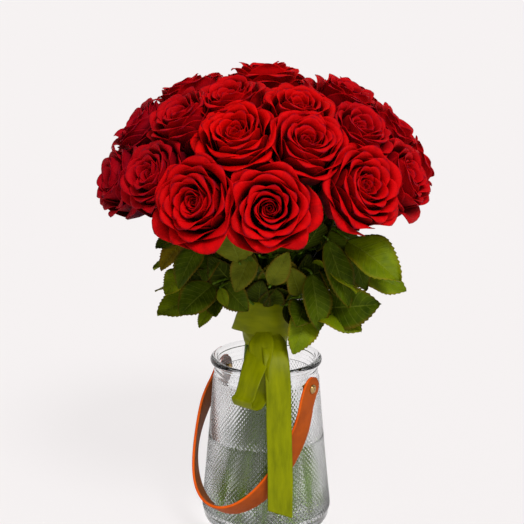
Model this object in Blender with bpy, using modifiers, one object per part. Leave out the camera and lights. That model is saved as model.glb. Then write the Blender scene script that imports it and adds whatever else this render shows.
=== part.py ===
"""Round hand-tied bouquet of red roses standing in a pressed-glass vase with a leather strap.

Frame: origin at the centre of the vase's flat underside, +Z up, the bow and the strap at -Y.
Azimuths are measured from -Y towards +X, polar angles from +Z. Metres throughout.
"""

import math

import bmesh
import bpy
from mathutils import Matrix, Vector

# Vase
VASE_HEIGHT = 0.178
FOOT_RADIUS = 0.056
HEEL_HEIGHT = 0.016
BELLY_RADIUS = 0.0658
NECK_RADIUS = 0.0527
NECK_DROP = 0.014  # from the top of the rim down to the neck
RIM_BEAD = 0.0036
GLASS_WALL = 0.004
GLASS_FLOOR = 0.011

# Leather strap on its two rivets
STRAP_WIDTH = 0.024
STRAP_THICKNESS = 0.0034
STRAP_REACH = 0.141  # from the rivets to the lowest point of its curve
STRAP_BULGE = 0.0045  # how far each side stands outside the rivet's line
STRAP_SHOULDER = 0.040  # length over which that bulge grows
STRAP_TILT = math.radians(33.5)  # from straight down
STRAP_AZIMUTH = math.radians(-37.5)  # the way the strap hangs
RIVET_DROP = 0.024  # from the top of the rim down to the rivets
RIVET_SHANK = 0.0019
RIVET_HEAD = 0.0046
RIVET_HEAD_HEIGHT = 0.0022
RIVET_STANDOFF = 0.0016  # glass to leather
RIVET_MARGIN = 0.0012  # flat leather past a rivet's head

# Bouquet
WAIST_ABOVE_RIM = 0.042
STEM_RADIUS = 0.00275
CALYX_RADIUS = 0.0048
CALYX_HEIGHT = 0.006
STEM_SPREAD = {"outer": 0.045, "middle": 0.028, "inner": 0.0115}  # ring radii at the cut ends
WAIST_LANE = 0.00075  # play between two rings of stems where they are tied
STEM_TWIST = math.radians(28)  # turn of the spiral from the tie up to the flowers
DOME_RADIUS = 0.165
DOME_RISE = 0.132
DOME_ABOVE_RIM = 0.162  # from the rim up to the dome's centre
BLOOM_DEPTH = 0.058
BLOOM_RADIUS = 0.043
BLOOM_FACE = 0.26  # share of the depth between the bud's tip and the widest ring

# Azimuth and polar angle of each flower on the dome, in degrees
FLOWERS = {
    "outer": [(1, 80), (38, 75), (64, 75), (98, 77), (133, 77), (168, 77),
              (204, 77), (240, 77), (-72, 78), (-48, 72), (-26, 79)],
    "middle": [(19, 55), (50, 53), (82, 58), (122, 47), (172, 45), (222, 48),
               (-84, 58), (-53, 46), (-15, 51)],
    "inner": [(22, 37), (82, 36), (186, 9), (252, 38), (-30, 31)],
}

# Ribbon
RIBBON_WIDTH = 0.025
RIBBON_THICKNESS = 0.0008
BAND_HEIGHT = 0.034
BAND_SLACK = 0.004  # from the stems to the inside of the band
LOOP_DROP = 0.070  # from the tie to the bottom of the loop
LOOP_AZIMUTH = math.radians(-15)
TAIL_DROP = 0.181
TAIL_AZIMUTH = math.radians(9.5)
TAIL_SLANT = 0.010  # how much longer one edge of the cut end is
TAIL_STANDOFF = 0.0003  # edge of the strap to the hanging end
RIM_CLEARANCE = 0.004  # rim to the ribbon that passes over it

# Foliage: azimuth, height above the tie, reach, lift of the stalk, hang of the blades, length
LEAF_SPRAYS = {
    "leaf_spray_right_upper": (78, 0.042, 0.050, 0.014, 20, 0.060),
    "leaf_spray_right_lower": (52, 0.018, 0.036, 0.004, 16, 0.054),
    "leaf_spray_left": (-68, 0.026, 0.036, 0.006, 20, 0.052),
    "leaf_spray_back": (182, 0.026, 0.046, 0.004, 32, 0.058),
}
LEAF_STANDOFF = 0.006  # from the stems at the tie to a stalk's foot
LEAF_FLARE = 0.3  # how far the foot moves out for each metre it is higher
LEAF_THICKNESS = 0.0012
LEAFLET_WIDTH = 0.72  # share of the leaflet's length
PETIOLE_RADIUS = 0.0014

GAP = 0.0003  # between pieces that touch

WAIST_Z = VASE_HEIGHT + WAIST_ABOVE_RIM
RIVET_Z = VASE_HEIGHT - RIVET_DROP
DOME_CENTRE = Vector((0, 0, VASE_HEIGHT + DOME_ABOVE_RIM))
STEM_END_Z = GLASS_FLOOR + GAP + STEM_RADIUS * 0.25  # the cut ends lean

MATERIALS = {
    "petals": ((0.58, 0.004, 0.006), 0.75, 0.0),
    "stems": ((0.075, 0.14, 0.02), 0.6, 0.0),
    "foliage": ((0.09, 0.19, 0.015), 0.5, 0.0),
    "glass": ((0.62, 0.72, 0.76), 0.08, 0.0),
    "leather": ((0.36, 0.09, 0.018), 0.55, 0.0),
    "brass": ((0.55, 0.36, 0.13), 0.3, 1.0),
    "ribbon": ((0.29, 0.33, 0.01), 0.45, 0.0),
}


def clear_scene():
    for obj in list(bpy.data.objects):
        bpy.data.objects.remove(obj)


def make_materials():
    for name, (colour, roughness, metallic) in MATERIALS.items():
        material = bpy.data.materials.new(name)
        material.use_nodes = True
        shader = material.node_tree.nodes["Principled BSDF"]
        shader.inputs["Base Color"].default_value = (*colour, 1)
        shader.inputs["Roughness"].default_value = roughness
        shader.inputs["Metallic"].default_value = metallic


def make_collections():
    for name in ("rose_bouquet_in_vase", "cutters"):
        bpy.context.scene.collection.children.link(bpy.data.collections.new(name))


def heading(azimuth):
    """Horizontal unit vector at an azimuth from -Y towards +X."""
    return Vector((math.sin(azimuth), -math.cos(azimuth), 0))


def add_object(name, data, material, collection="rose_bouquet_in_vase"):
    obj = bpy.data.objects.new(name, data)
    bpy.data.collections[collection].objects.link(obj)
    if material:
        data.materials.append(bpy.data.materials[material])
    return obj


def as_helper(obj):
    """A piece that only cuts or joins another."""
    obj.hide_render = True
    obj.display_type = "WIRE"
    return obj


def boolean(obj, other, operation):
    modifier = obj.modifiers.new(other.name, "BOOLEAN")
    modifier.operation = operation
    modifier.object = other
    modifier.solver = "EXACT"


def turned(name, profile, material, steps, collection="rose_bouquet_in_vase"):
    """A profile of (radius, height) from axis to axis, turned about the object's own Z."""
    mesh = bpy.data.meshes.new(name)
    points = [(radius, 0, height) for radius, height in profile]
    mesh.from_pydata(points, [(i, i + 1) for i in range(len(points) - 1)], [])
    obj = add_object(name, mesh, material, collection)
    screw = obj.modifiers.new("turn", "SCREW")
    screw.axis = "Z"
    screw.steps = screw.render_steps = steps
    screw.use_merge_vertices = True
    screw.merge_threshold = 0.0001
    screw.use_smooth_shade = True
    return obj


def aim(obj, place, direction):
    """Stand the object at a place with its own +Z along a direction."""
    turn = Vector(direction).to_track_quat("Z", "Y").to_matrix().to_4x4()
    obj.matrix_world = Matrix.Translation(place) @ turn


def poly_curve(name, points, radii, bevel, resolution=1):
    """A round tube along points, filled at both ends."""
    curve = bpy.data.curves.new(name, "CURVE")
    curve.dimensions = "3D"
    curve.bevel_depth = bevel
    curve.bevel_resolution = resolution
    curve.use_fill_caps = True
    spline = curve.splines.new("POLY")
    spline.points.add(len(points) - 1)
    for point, place, radius in zip(spline.points, points, radii):
        point.co = (*place, 1)
        point.radius = radius
    return curve


def as_mesh(name, curve, material, collection="rose_bouquet_in_vase"):
    """Turn a curve's evaluated shape into a closed mesh object."""
    guide = add_object(name + "_guide", curve, None, "cutters")
    graph = bpy.context.evaluated_depsgraph_get()
    mesh = bpy.data.meshes.new_from_object(guide.evaluated_get(graph))
    bpy.data.objects.remove(guide)
    shape = bmesh.new()
    shape.from_mesh(mesh)
    bmesh.ops.remove_doubles(shape, verts=shape.verts, dist=0.00001)
    bmesh.ops.recalc_face_normals(shape, faces=shape.faces)
    shape.to_mesh(mesh)
    shape.free()
    mesh.name = name
    return add_object(name, mesh, material, collection)


def hermite(start, start_pull, end, end_pull, count):
    """Points on one smooth curve between two places with the pull at each."""
    points = []
    for i in range(count + 1):
        t = i / count
        points.append(
            start * (2 * t**3 - 3 * t**2 + 1)
            + start_pull * (t**3 - 2 * t**2 + t)
            + end * (3 * t**2 - 2 * t**3)
            + end_pull * (t**3 - t**2)
        )
    return points


# ---------------------------------------------------------------- vase


def body_radius(height):
    """Outer radius of the glass between the heel and the neck."""
    neck_z = VASE_HEIGHT - NECK_DROP
    share = (neck_z - height) / (neck_z - HEEL_HEIGHT)
    return NECK_RADIUS + (BELLY_RADIUS - NECK_RADIUS) * share ** 1.15


def vase_profile():
    neck_z = VASE_HEIGHT - NECK_DROP
    rim_z = VASE_HEIGHT - RIM_BEAD
    rim_r = NECK_RADIUS
    heights = [neck_z + (HEEL_HEIGHT - neck_z) * i / 6 for i in range(7)]
    inner_top = NECK_RADIUS - GLASS_WALL
    inside = [(0, GLASS_FLOOR), (FOOT_RADIUS - GLASS_WALL, GLASS_FLOOR)]
    inside += [(BELLY_RADIUS - GLASS_WALL - 0.0015, GLASS_FLOOR + 0.006)]
    inside += [(body_radius(z) - GLASS_WALL, z) for z in heights[::-1] if z > GLASS_FLOOR + 0.012]
    inside += [(inner_top, rim_z - 0.004)]
    bead = []
    for i in range(7):
        angle = math.radians(200 - 40 * i)
        bead.append((rim_r + RIM_BEAD * 0.1 + RIM_BEAD * math.cos(angle),
                     rim_z + RIM_BEAD * math.sin(angle)))
    outside = [(body_radius(z), z) for z in heights]
    heel = []
    for i in range(1, 4):
        angle = math.radians(30 * i)
        heel.append((FOOT_RADIUS + (BELLY_RADIUS - FOOT_RADIUS) * math.cos(angle),
                     HEEL_HEIGHT * (1 - math.sin(angle))))
    return inside + bead + outside + heel + [(0, 0)]


def rivet_hole(name, reach):
    """A cutter for a rivet's shank, reaching the same way on both sides."""
    radius = RIVET_SHANK + GAP
    profile = [(0, reach), (radius, reach), (radius, -reach), (0, -reach)]
    return as_helper(turned(name, profile, None, 16, "cutters"))


def make_vase():
    vase = turned("vase", vase_profile(), "glass", 48)
    axis = strap_side()
    for name, side in (("rivet_hole_right", 1), ("rivet_hole_left", -1)):
        hole = rivet_hole(name, NECK_RADIUS * 0.4)
        aim(hole, axis * (side * NECK_RADIUS) + Vector((0, 0, RIVET_Z)), axis)
        boolean(vase, hole, "DIFFERENCE")


# ---------------------------------------------------------------- strap and rivets


def strap_side():
    """Along the rivets' axis, towards the right-hand rivet."""
    return heading(STRAP_AZIMUTH + math.pi / 2)


def rivet_radius():
    """From the vase's axis to the middle of the leather at each rivet."""
    return body_radius(RIVET_Z) + RIVET_STANDOFF + STRAP_THICKNESS / 2


def strap_hang():
    """Down along the strap's own plane, which leans out at the bow's side."""
    return heading(STRAP_AZIMUTH) * math.sin(STRAP_TILT) - Vector((0, 0, math.cos(STRAP_TILT)))


def strap_route():
    """(across, down) along the middle of the leather, from the right rivet to the left one."""
    wide = rivet_radius() + STRAP_BULGE
    flat = RIVET_HEAD + RIVET_MARGIN
    shoulder = [(rivet_radius(), 0), (rivet_radius(), flat)]
    for share in (0.3, 0.6):
        shoulder.append((wide - STRAP_BULGE * math.cos(share * math.pi / 2) ** 2,
                         flat + (STRAP_SHOULDER - flat) * share))
    bottom = []
    for i in range(25):
        angle = math.pi * i / 24
        bottom.append((wide * math.cos(angle),
                       STRAP_SHOULDER + (STRAP_REACH - STRAP_SHOULDER) * math.sin(angle)))
    return shoulder + bottom + [(-across, down) for across, down in shoulder[::-1]]


def make_strap():
    """A flat band swept along its route, with a round tab past each rivet."""
    tab = STRAP_WIDTH / 2
    route = strap_route()
    top = [(route[0][0], -tab * share) for share in (0.98, 0.9, 0.7, 0.4)]
    route = top + route + [(-across, down) for across, down in top[::-1]]
    outline = bpy.data.curves.new("strap_outline", "CURVE")
    outline.dimensions = "3D"
    outline.extrude = STRAP_WIDTH / 2
    spline = outline.splines.new("POLY")
    spline.points.add(len(route) - 1)
    for point, (across, down) in zip(spline.points, route):
        point.co = (across, -down, 0, 1)
    strap = as_mesh("leather_strap", outline, "leather")
    for vertex in strap.data.vertices:
        above = vertex.co.y
        if above > 0:
            vertex.co.z *= math.sqrt(max(0.0, 1 - (above / tab) ** 2))
    shell = strap.modifiers.new("leather", "SOLIDIFY")
    shell.thickness = STRAP_THICKNESS
    shell.offset = 0
    shell.use_even_offset = True
    side = strap_side()
    hang = strap_hang()
    frame = Matrix((side, -hang, hang.cross(side))).transposed().to_4x4()
    strap.matrix_world = Matrix.Translation((0, 0, RIVET_Z)) @ frame
    for name, sign in (("strap_hole_right", 1), ("strap_hole_left", -1)):
        hole = rivet_hole(name, STRAP_THICKNESS * 2.4)
        aim(hole, side * (sign * rivet_radius()) + Vector((0, 0, RIVET_Z)), side)
        boolean(strap, hole, "DIFFERENCE")


def make_rivets():
    """Brass rivets: domed head outside the leather, flat flange inside the glass."""
    inner_wall = body_radius(RIVET_Z) - GLASS_WALL
    flange_face = math.sqrt(inner_wall**2 - RIVET_HEAD**2) - GAP - 0.0002
    head_face = rivet_radius() + STRAP_THICKNESS / 2 + GAP
    side = strap_side()
    profile = [(0, head_face + RIVET_HEAD_HEIGHT)]
    for share in (0.5, 0.85, 1.0):
        profile.append((RIVET_HEAD * share,
                        head_face + RIVET_HEAD_HEIGHT * (0.25 + 0.75 * math.sqrt(1 - share**2))))
    profile += [(RIVET_HEAD, head_face), (RIVET_SHANK, head_face), (RIVET_SHANK, flange_face),
                (RIVET_HEAD, flange_face), (RIVET_HEAD, flange_face - 0.001),
                (0, flange_face - 0.001)]
    for name, sign in (("rivet_right", 1), ("rivet_left", -1)):
        rivet = turned(name, profile, "brass", 16)
        aim(rivet, Vector((0, 0, RIVET_Z)), side * sign)


# ---------------------------------------------------------------- flowers and stems


def flower_tips():
    """ring, number, bud tip, outward direction of every flower."""
    flowers = []
    for ring, places in FLOWERS.items():
        for azimuth, polar in places:
            level = heading(math.radians(azimuth)) * math.sin(math.radians(polar))
            ray = level + Vector((0, 0, math.cos(math.radians(polar))))
            flat = math.hypot(ray.x, ray.y) / DOME_RADIUS
            reach = 1 / math.hypot(flat, ray.z / DOME_RISE)
            tip = ray * reach
            out = Vector((tip.x / DOME_RADIUS**2, tip.y / DOME_RADIUS**2, tip.z / DOME_RISE**2))
            flowers.append((ring, math.radians(azimuth), DOME_CENTRE + tip, out.normalized()))
    return flowers


def bloom_profile(radius):
    """Rolled outer petals round a pointed bud, tapering back to the calyx."""
    depth = BLOOM_DEPTH
    return [(0, 0), (radius * 0.30, -depth * 0.04), (radius * 0.38, -depth * 0.12),
            (radius * 0.62, -depth * 0.09), (radius * 0.90, -depth * 0.17),
            (radius, -depth * BLOOM_FACE), (radius * 0.93, -depth * 0.40),
            (radius * 0.66, -depth * 0.72), (CALYX_RADIUS * 1.3, -depth + GAP), (0, -depth + GAP)]


def bloom_radii(middles):
    """Half of the nearest spacing each, then each one grows into the room left beside it."""
    spacing = [[(a - b).length - 2 * GAP for b in middles] for a in middles]
    count = range(len(middles))
    radii = [min(spacing[i][j] for j in count if j != i) / 2 for i in count]
    for i in count:
        room = min(spacing[i][j] - radii[j] for j in count if j != i)
        radii[i] = min(BLOOM_RADIUS, room)
    return radii


def make_flowers():
    """Each flower is as wide as its neighbours allow."""
    flowers = flower_tips()
    radii = bloom_radii([tip - out * (BLOOM_DEPTH * BLOOM_FACE) for _, _, tip, out in flowers])
    for number, (_, _, tip, out) in enumerate(flowers):
        name = f"rose_bloom_{number + 1:02d}"
        aim(turned(name, bloom_profile(radii[number]), "petals", 14), tip, out)


def waist_radii():
    """Radius of each ring of stems at the tie, packed from the middle out."""
    pitch = 2 * STEM_RADIUS + WAIST_LANE
    inner = pitch / 2 / math.sin(math.pi / len(FLOWERS["inner"])) * 0.98
    return {"inner": inner, "middle": inner + pitch, "outer": inner + 2 * pitch}


def stem_route(ring, number, tip, out):
    """Straight from the cut end through the tie, then one curve out to the calyx."""
    radius = waist_radii()[ring]
    count = len(FLOWERS[ring])
    first = math.radians(sorted(a for a, _ in FLOWERS[ring])[0])
    turn = first + 2 * math.pi * number / count - STEM_TWIST
    waist = heading(turn) * radius + Vector((0, 0, WAIST_Z))
    drop = WAIST_Z - STEM_END_Z
    swing = math.sqrt(STEM_SPREAD[ring] ** 2 - radius**2)
    along = heading(turn + math.pi / 2) * swing + Vector((0, 0, drop))
    foot = waist - along
    base = tip - out * BLOOM_DEPTH
    neck = base - out * CALYX_HEIGHT
    span = (neck - waist).length
    upper = hermite(waist, along.normalized() * span * 0.9, neck, out * span * 0.8, 7)
    return [foot] + upper + [base]


def make_stems():
    flowers = flower_tips()
    order = {ring: sorted(a for a, _ in places) for ring, places in FLOWERS.items()}
    for number, (ring, azimuth, tip, out) in enumerate(flowers):
        place = order[ring].index(round(math.degrees(azimuth)))
        route = stem_route(ring, place, tip, out)
        radii = [1.0] * (len(route) - 2) + [1.1, CALYX_RADIUS / STEM_RADIUS]
        curve = poly_curve(f"rose_stem_{number + 1:02d}", route, radii, STEM_RADIUS)
        add_object(curve.name, curve, "stems")


# ---------------------------------------------------------------- ribbon


def ribbon_sheet(name, route, width, centre, across, collection="rose_bouquet_in_vase"):
    """A strip of ribbon: a route of (out, up) points about a centre, as wide as the ribbon."""
    curve = bpy.data.curves.new(name, "CURVE")
    curve.dimensions = "3D"
    curve.extrude = width / 2
    spline = curve.splines.new("POLY")
    spline.points.add(len(route) - 1)
    for point, (out, up) in zip(spline.points, route):
        point.co = (out, up, 0, 1)
    sheet = as_mesh(name, curve, "ribbon", collection)
    shell = sheet.modifiers.new("cloth", "SOLIDIFY")
    shell.thickness = RIBBON_THICKNESS
    shell.offset = 0
    away = heading(across)
    side = away.cross(Vector((0, 0, 1)))
    frame = Matrix((away, Vector((0, 0, 1)), side)).transposed().to_4x4()
    sheet.matrix_world = Matrix.Translation(centre) @ frame
    return sheet


def bundle_radius():
    return waist_radii()["outer"] + STEM_RADIUS


def rim_outer():
    return NECK_RADIUS + RIM_BEAD * 1.1


def make_bow():
    """The band round the stems, with the loop that hangs from it over the rim."""
    inner = bundle_radius() + BAND_SLACK
    outer = inner + RIBBON_THICKNESS
    top = WAIST_Z + BAND_HEIGHT * 0.6
    low = top - BAND_HEIGHT
    profile = [(inner, low), (inner, top), (outer, top), (outer, low), (inner, low)]
    band = turned("ribbon_bow", profile, "ribbon", 32)
    near = outer - RIBBON_THICKNESS * 0.5
    clear = rim_outer() + RIM_CLEARANCE
    bottom = WAIST_Z - LOOP_DROP
    inner_strand = [(near, WAIST_Z - 0.0125), (clear * 0.7, WAIST_Z - 0.026),
                    (clear, VASE_HEIGHT + 0.001), (clear + 0.003, VASE_HEIGHT - 0.016),
                    (clear + 0.004, bottom + 0.010)]
    fold = [(clear + 0.007, bottom + 0.002), (clear + 0.014, bottom + 0.001)]
    outer_strand = [(clear + 0.018, bottom + 0.010), (clear + 0.014, VASE_HEIGHT - 0.010),
                    (clear + 0.001, VASE_HEIGHT + 0.010), (clear * 0.7, WAIST_Z - 0.014),
                    (near, WAIST_Z - 0.006)]
    route = inner_strand + fold + outer_strand
    loop = ribbon_sheet("ribbon_loop_helper", route, RIBBON_WIDTH, Vector((0, 0, 0)),
                        LOOP_AZIMUTH, "cutters")
    boolean(band, as_helper(loop), "UNION")


def make_tail():
    """The loose end: over the rim and straight down in front of the strap."""
    near = bundle_radius() + BAND_SLACK + RIBBON_THICKNESS + GAP * 2
    clear = rim_outer() + RIM_CLEARANCE
    bottom = WAIST_Z - TAIL_DROP
    front = strap_front()
    route = [(near, WAIST_Z + 0.001), (clear * 0.72, WAIST_Z - 0.008),
             (clear + 0.002, VASE_HEIGHT + 0.017), (clear + 0.011, VASE_HEIGHT - 0.012),
             (front - 0.008, VASE_HEIGHT * 0.70), (front - 0.001, bottom + 0.04),
             (front - 0.002, bottom)]
    tail = ribbon_sheet("ribbon_tail", route, RIBBON_WIDTH, Vector((0, 0, 0)), TAIL_AZIMUTH)
    for vertex in tail.data.vertices:
        if vertex.co.y < bottom + 0.001:
            vertex.co.y -= TAIL_SLANT * vertex.co.z / RIBBON_WIDTH


def strap_front():
    """How far out the ribbon hangs to pass in front of the leather."""
    out, lane = heading(TAIL_AZIMUTH), heading(TAIL_AZIMUTH + math.pi / 2)
    middle = [strap_side() * across + strap_hang() * down for across, down in strap_route()]
    reach = max(point.dot(out) for point in middle if abs(point.dot(lane)) < RIBBON_WIDTH)
    return reach + STRAP_WIDTH / 2 * math.cos(STRAP_TILT) + TAIL_STANDOFF


# ---------------------------------------------------------------- foliage


def leaflet_curve(name, length):
    curve = bpy.data.curves.new(name, "CURVE")
    curve.dimensions = "2D"
    curve.fill_mode = "BOTH"
    curve.extrude = LEAF_THICKNESS / 2
    half = [(length * t, length * LEAFLET_WIDTH / 2 * math.sin(math.pi * t**0.85) ** 0.75)
            for t in (0.08, 0.22, 0.38, 0.55, 0.72, 0.88)]
    outline = [(0, 0)] + half + [(length, 0)] + [(x, -y) for x, y in half[::-1]]
    spline = curve.splines.new("POLY")
    spline.points.add(len(outline) - 1)
    spline.use_cyclic_u = True
    for point, (x, y) in zip(spline.points, outline):
        point.co = (x, y, 0, 1)
    return curve


def make_leaf_sprays():
    """A stalk from beside the stems with a leaflet at its end and a pair behind it."""
    for name, (azimuth, rise, reach, lift, hang, length) in LEAF_SPRAYS.items():
        away = heading(math.radians(azimuth))
        side = away.cross(Vector((0, 0, 1)))
        start = away * (bundle_radius() + LEAF_STANDOFF + rise * LEAF_FLARE)
        start += Vector((0, 0, WAIST_Z + rise))
        end = start + away * reach + Vector((0, 0, lift))
        stalk = hermite(start, (away + Vector((0, 0, 0.5))) * reach,
                        end, (away - Vector((0, 0, 0.35))) * reach, 4)
        curve = poly_curve(name, stalk, [1] * len(stalk), PETIOLE_RADIUS)
        spray = as_mesh(name, curve, "foliage")
        middle = stalk[2]
        step = (stalk[3] - middle).normalized() * PETIOLE_RADIUS * 1.5
        places = [(end - away * 0.004, away, 1.0),
                  (middle + step, (away * 0.45 + side).normalized(), 0.8),
                  (middle - step, (away * 0.45 - side).normalized(), 0.8)]
        for number, (place, direction, scale) in enumerate(places):
            blade = as_mesh(f"{name}_blade_{number}", leaflet_curve("outline", length * scale),
                            None, "cutters")
            lie = (direction - Vector((0, 0, math.tan(math.radians(hang))))).normalized()
            across = Vector((0, 0, 1)).cross(lie).normalized()
            frame = Matrix((lie, across, lie.cross(across))).transposed().to_4x4()
            blade.matrix_world = Matrix.Translation(place) @ frame
            boolean(spray, as_helper(blade), "UNION")


def main():
    clear_scene()
    make_materials()
    make_collections()
    make_vase()
    make_strap()
    make_rivets()
    make_flowers()
    make_stems()
    make_bow()
    make_tail()
    make_leaf_sprays()


main()
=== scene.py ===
"""Visual model: a round bouquet of red roses tied with ribbon, in a pressed-glass vase with a strap.

Frame: origin at the centre of the vase's flat underside, +Z up, the bow and the strap at -Y.
Azimuths are measured from -Y towards +X, polar angles from +Z. Metres throughout.
"""

import math

import bpy
import numpy as np
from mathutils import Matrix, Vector


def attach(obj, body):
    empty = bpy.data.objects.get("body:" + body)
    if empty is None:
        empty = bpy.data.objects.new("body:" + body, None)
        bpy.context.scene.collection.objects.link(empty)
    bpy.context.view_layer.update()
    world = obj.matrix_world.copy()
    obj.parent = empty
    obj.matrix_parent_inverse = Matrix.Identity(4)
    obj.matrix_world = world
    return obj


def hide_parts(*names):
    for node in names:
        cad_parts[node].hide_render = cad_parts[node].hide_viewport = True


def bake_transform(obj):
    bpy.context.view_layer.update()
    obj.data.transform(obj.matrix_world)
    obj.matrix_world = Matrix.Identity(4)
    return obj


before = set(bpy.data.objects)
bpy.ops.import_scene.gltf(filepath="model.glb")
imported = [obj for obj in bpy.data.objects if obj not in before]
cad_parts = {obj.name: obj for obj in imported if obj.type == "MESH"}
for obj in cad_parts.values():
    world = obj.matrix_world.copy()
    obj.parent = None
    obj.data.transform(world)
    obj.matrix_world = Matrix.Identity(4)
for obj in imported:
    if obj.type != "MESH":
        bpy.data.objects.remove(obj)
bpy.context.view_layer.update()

# Vase
VASE_HEIGHT = 0.178
FOOT_RADIUS = 0.056
HEEL_HEIGHT = 0.016
BELLY_RADIUS = 0.0658
NECK_RADIUS = 0.0527
NECK_DROP = 0.014
RIM_BEAD = 0.0036
GLASS_WALL = 0.004
GLASS_FLOOR = 0.011
BOSS_COUNT = 84  # bosses round the glass
BOSS_PITCH = 0.0056
BOSS_HEIGHT = 0.0012
BOSS_STEPS = 6  # mesh steps across one boss
WATER_LEVEL = 0.094
RIM_STEPS = 240
RIM_RIBS = 120
RIM_RIB_HEIGHT = 0.00012
WATER_BITE = 0.0001  # how far the water reaches into the glass, so that no film of air is left

# Leather strap
STRAP_WIDTH = 0.024
STRAP_THICKNESS = 0.0034
STRAP_REACH = 0.141
STRAP_BULGE = 0.0045
STRAP_SHOULDER = 0.040
STRAP_TILT = math.radians(33.5)
STRAP_AZIMUTH = math.radians(-37.5)
STRAP_TWISTS = (math.radians(-10), math.radians(-26))  # lean of the right and left sides
RIVET_DROP = 0.024
RIVET_SHANK = 0.0019
RIVET_HEAD = 0.0046
RIVET_HEAD_HEIGHT = 0.0022
RIVET_STANDOFF = 0.0016
RIVET_MARGIN = 0.0012

# Bouquet
WAIST_ABOVE_RIM = 0.042
STEM_RADIUS = 0.00275
CALYX_HEIGHT = 0.006
STEM_SPREAD = {"outer": 0.045, "middle": 0.028, "inner": 0.0115}
WAIST_LANE = 0.00075
STEM_TWIST = math.radians(28)
DOME_RADIUS = 0.165
DOME_RISE = 0.132
DOME_ABOVE_RIM = 0.162
BLOOM_DEPTH = 0.058
BLOOM_FACE = 0.26
GAP = 0.0003

# Azimuth and polar angle in degrees. Thirteen of the front ones began as a scratch script's figures
# from the photo and were moved by hand: see report.md
FLOWERS = {
    "outer": [(1, 80), (38, 75), (64, 75), (98, 77), (133, 77), (168, 77),
              (204, 77), (240, 77), (-72, 78), (-48, 72), (-26, 79)],
    "middle": [(19, 55), (50, 53), (82, 58), (122, 47), (172, 45), (222, 48),
               (-84, 58), (-53, 46), (-15, 51)],
    "inner": [(22, 37), (82, 36), (186, 9), (252, 38), (-30, 31)],
}
# Full width of the flowers that differ from the usual
BLOOM_WIDTH = 0.082
BLOOM_WIDTHS = {1: 0.090, 2: 0.093, 10: 0.080, 11: 0.091, 12: 0.085, 13: 0.078, 20: 0.086,
                23: 0.084}
BLOOM_SINK = 0.004
BLOOM_SPREAD = 2.19  # an open flower's full width over the size its petals are made to
PETAL_THICKNESS = 0.0004
NEIGHBOUR_REACH = 0.1  # flowers further apart than this leave each other alone
PRESS_START = 0.003
PRESS_SOFTNESS = 0.011
# Flowers whose colour the picture shows: 0 bright and lit, 1 dark and purplish in painted shade
BLOOM_SHADE_AND_TONE = {1: 0.15, 2: 0.2, 3: 0.45, 9: 0.9, 10: 0.65, 11: 0.2, 12: 0.2, 13: 0.45, 14: 0.5,
              18: 0.9, 19: 0.5, 20: 0.0, 21: 0.1, 22: 0.45, 23: 0.15, 24: 0.5, 25: 0.25}
PETAL_COUNT = 44
GOLDEN_ANGLE = math.radians(137.5)

# Ribbon
RIBBON_WIDTH = 0.025
RIBBON_THICKNESS = 0.0008
BAND_HEIGHT = 0.034
BAND_SLACK = 0.004
LOOP_DROP = 0.070
LOOP_LEAN = math.radians(-6)  # the side of the bouquet the loop hangs on
LOOP_OPEN = math.radians(-42)  # the way its hollow bulges
TAIL_DROP = 0.181
TAIL_AZIMUTH = math.radians(9.5)
TAIL_SLANT = 0.010
TAIL_FRONT = 0.079  # how far out the ribbon hangs, to pass in front of the leather
RIM_CLEARANCE = 0.004

# Foliage of the four leaf sprays: azimuth, height above the tie, reach, lift, hang, length
LEAF_SPRAYS = {
    "leaf_spray_right_upper": (78, 0.042, 0.050, 0.014, 20, 0.060),
    "leaf_spray_right_lower": (52, 0.018, 0.036, 0.004, 16, 0.054),
    "leaf_spray_left": (-68, 0.026, 0.036, 0.006, 20, 0.052),
    "leaf_spray_back": (182, 0.026, 0.046, 0.004, 32, 0.058),
}
LEAF_STANDOFF = 0.006
LEAF_FLARE = 0.3
LEAFLET_WIDTH = 0.72
PETIOLE_RADIUS = 0.0012
LEAF_TEETH = 15
LEAF_TOOTH = 0.00075
LEAF_ARCH = 0.10
LEAF_FOLD = 0.25
LEAF_THICKNESS = 0.0004

# Stage and camera
BACKDROP = (0.913, 0.879, 0.879, 1)
FLOOR_EDGE = 40.0
PICTURE_WIDTH = 524
FOCAL_LENGTH = 1502  # in the picture's pixels
SENSOR_WIDTH = 36.0
CAMERA_DISTANCE = 1.5
CAMERA_PITCH = math.radians(15.17)
CAMERA_TARGET = (-0.0042, 0, 0.2756)

WAIST_Z = VASE_HEIGHT + WAIST_ABOVE_RIM
RIVET_Z = VASE_HEIGHT - RIVET_DROP
DOME_CENTRE = np.array((0, 0, VASE_HEIGHT + DOME_ABOVE_RIM))
STEM_END_Z = GLASS_FLOOR + GAP + STEM_RADIUS * 0.25
UP = np.array((0.0, 0.0, 1.0))


# ---------------------------------------------------------------- small helpers


def heading(azimuth):
    """Horizontal unit vector at an azimuth from -Y towards +X."""
    return np.array((math.sin(azimuth), -math.cos(azimuth), 0.0))


def unit(vector):
    vector = np.asarray(vector, float)
    return vector / np.linalg.norm(vector)


def smooth_step(x):
    x = np.clip(x, 0, 1)
    return x * x * (3 - 2 * x)


def hermite(start, start_pull, end, end_pull, count):
    """Points on one smooth curve between two places with the pull at each."""
    t = np.linspace(0, 1, count + 1)[:, None]
    return (start * (2 * t**3 - 3 * t**2 + 1) + start_pull * (t**3 - 2 * t**2 + t)
            + end * (3 * t**2 - 2 * t**3) + end_pull * (t**3 - t**2))


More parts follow.
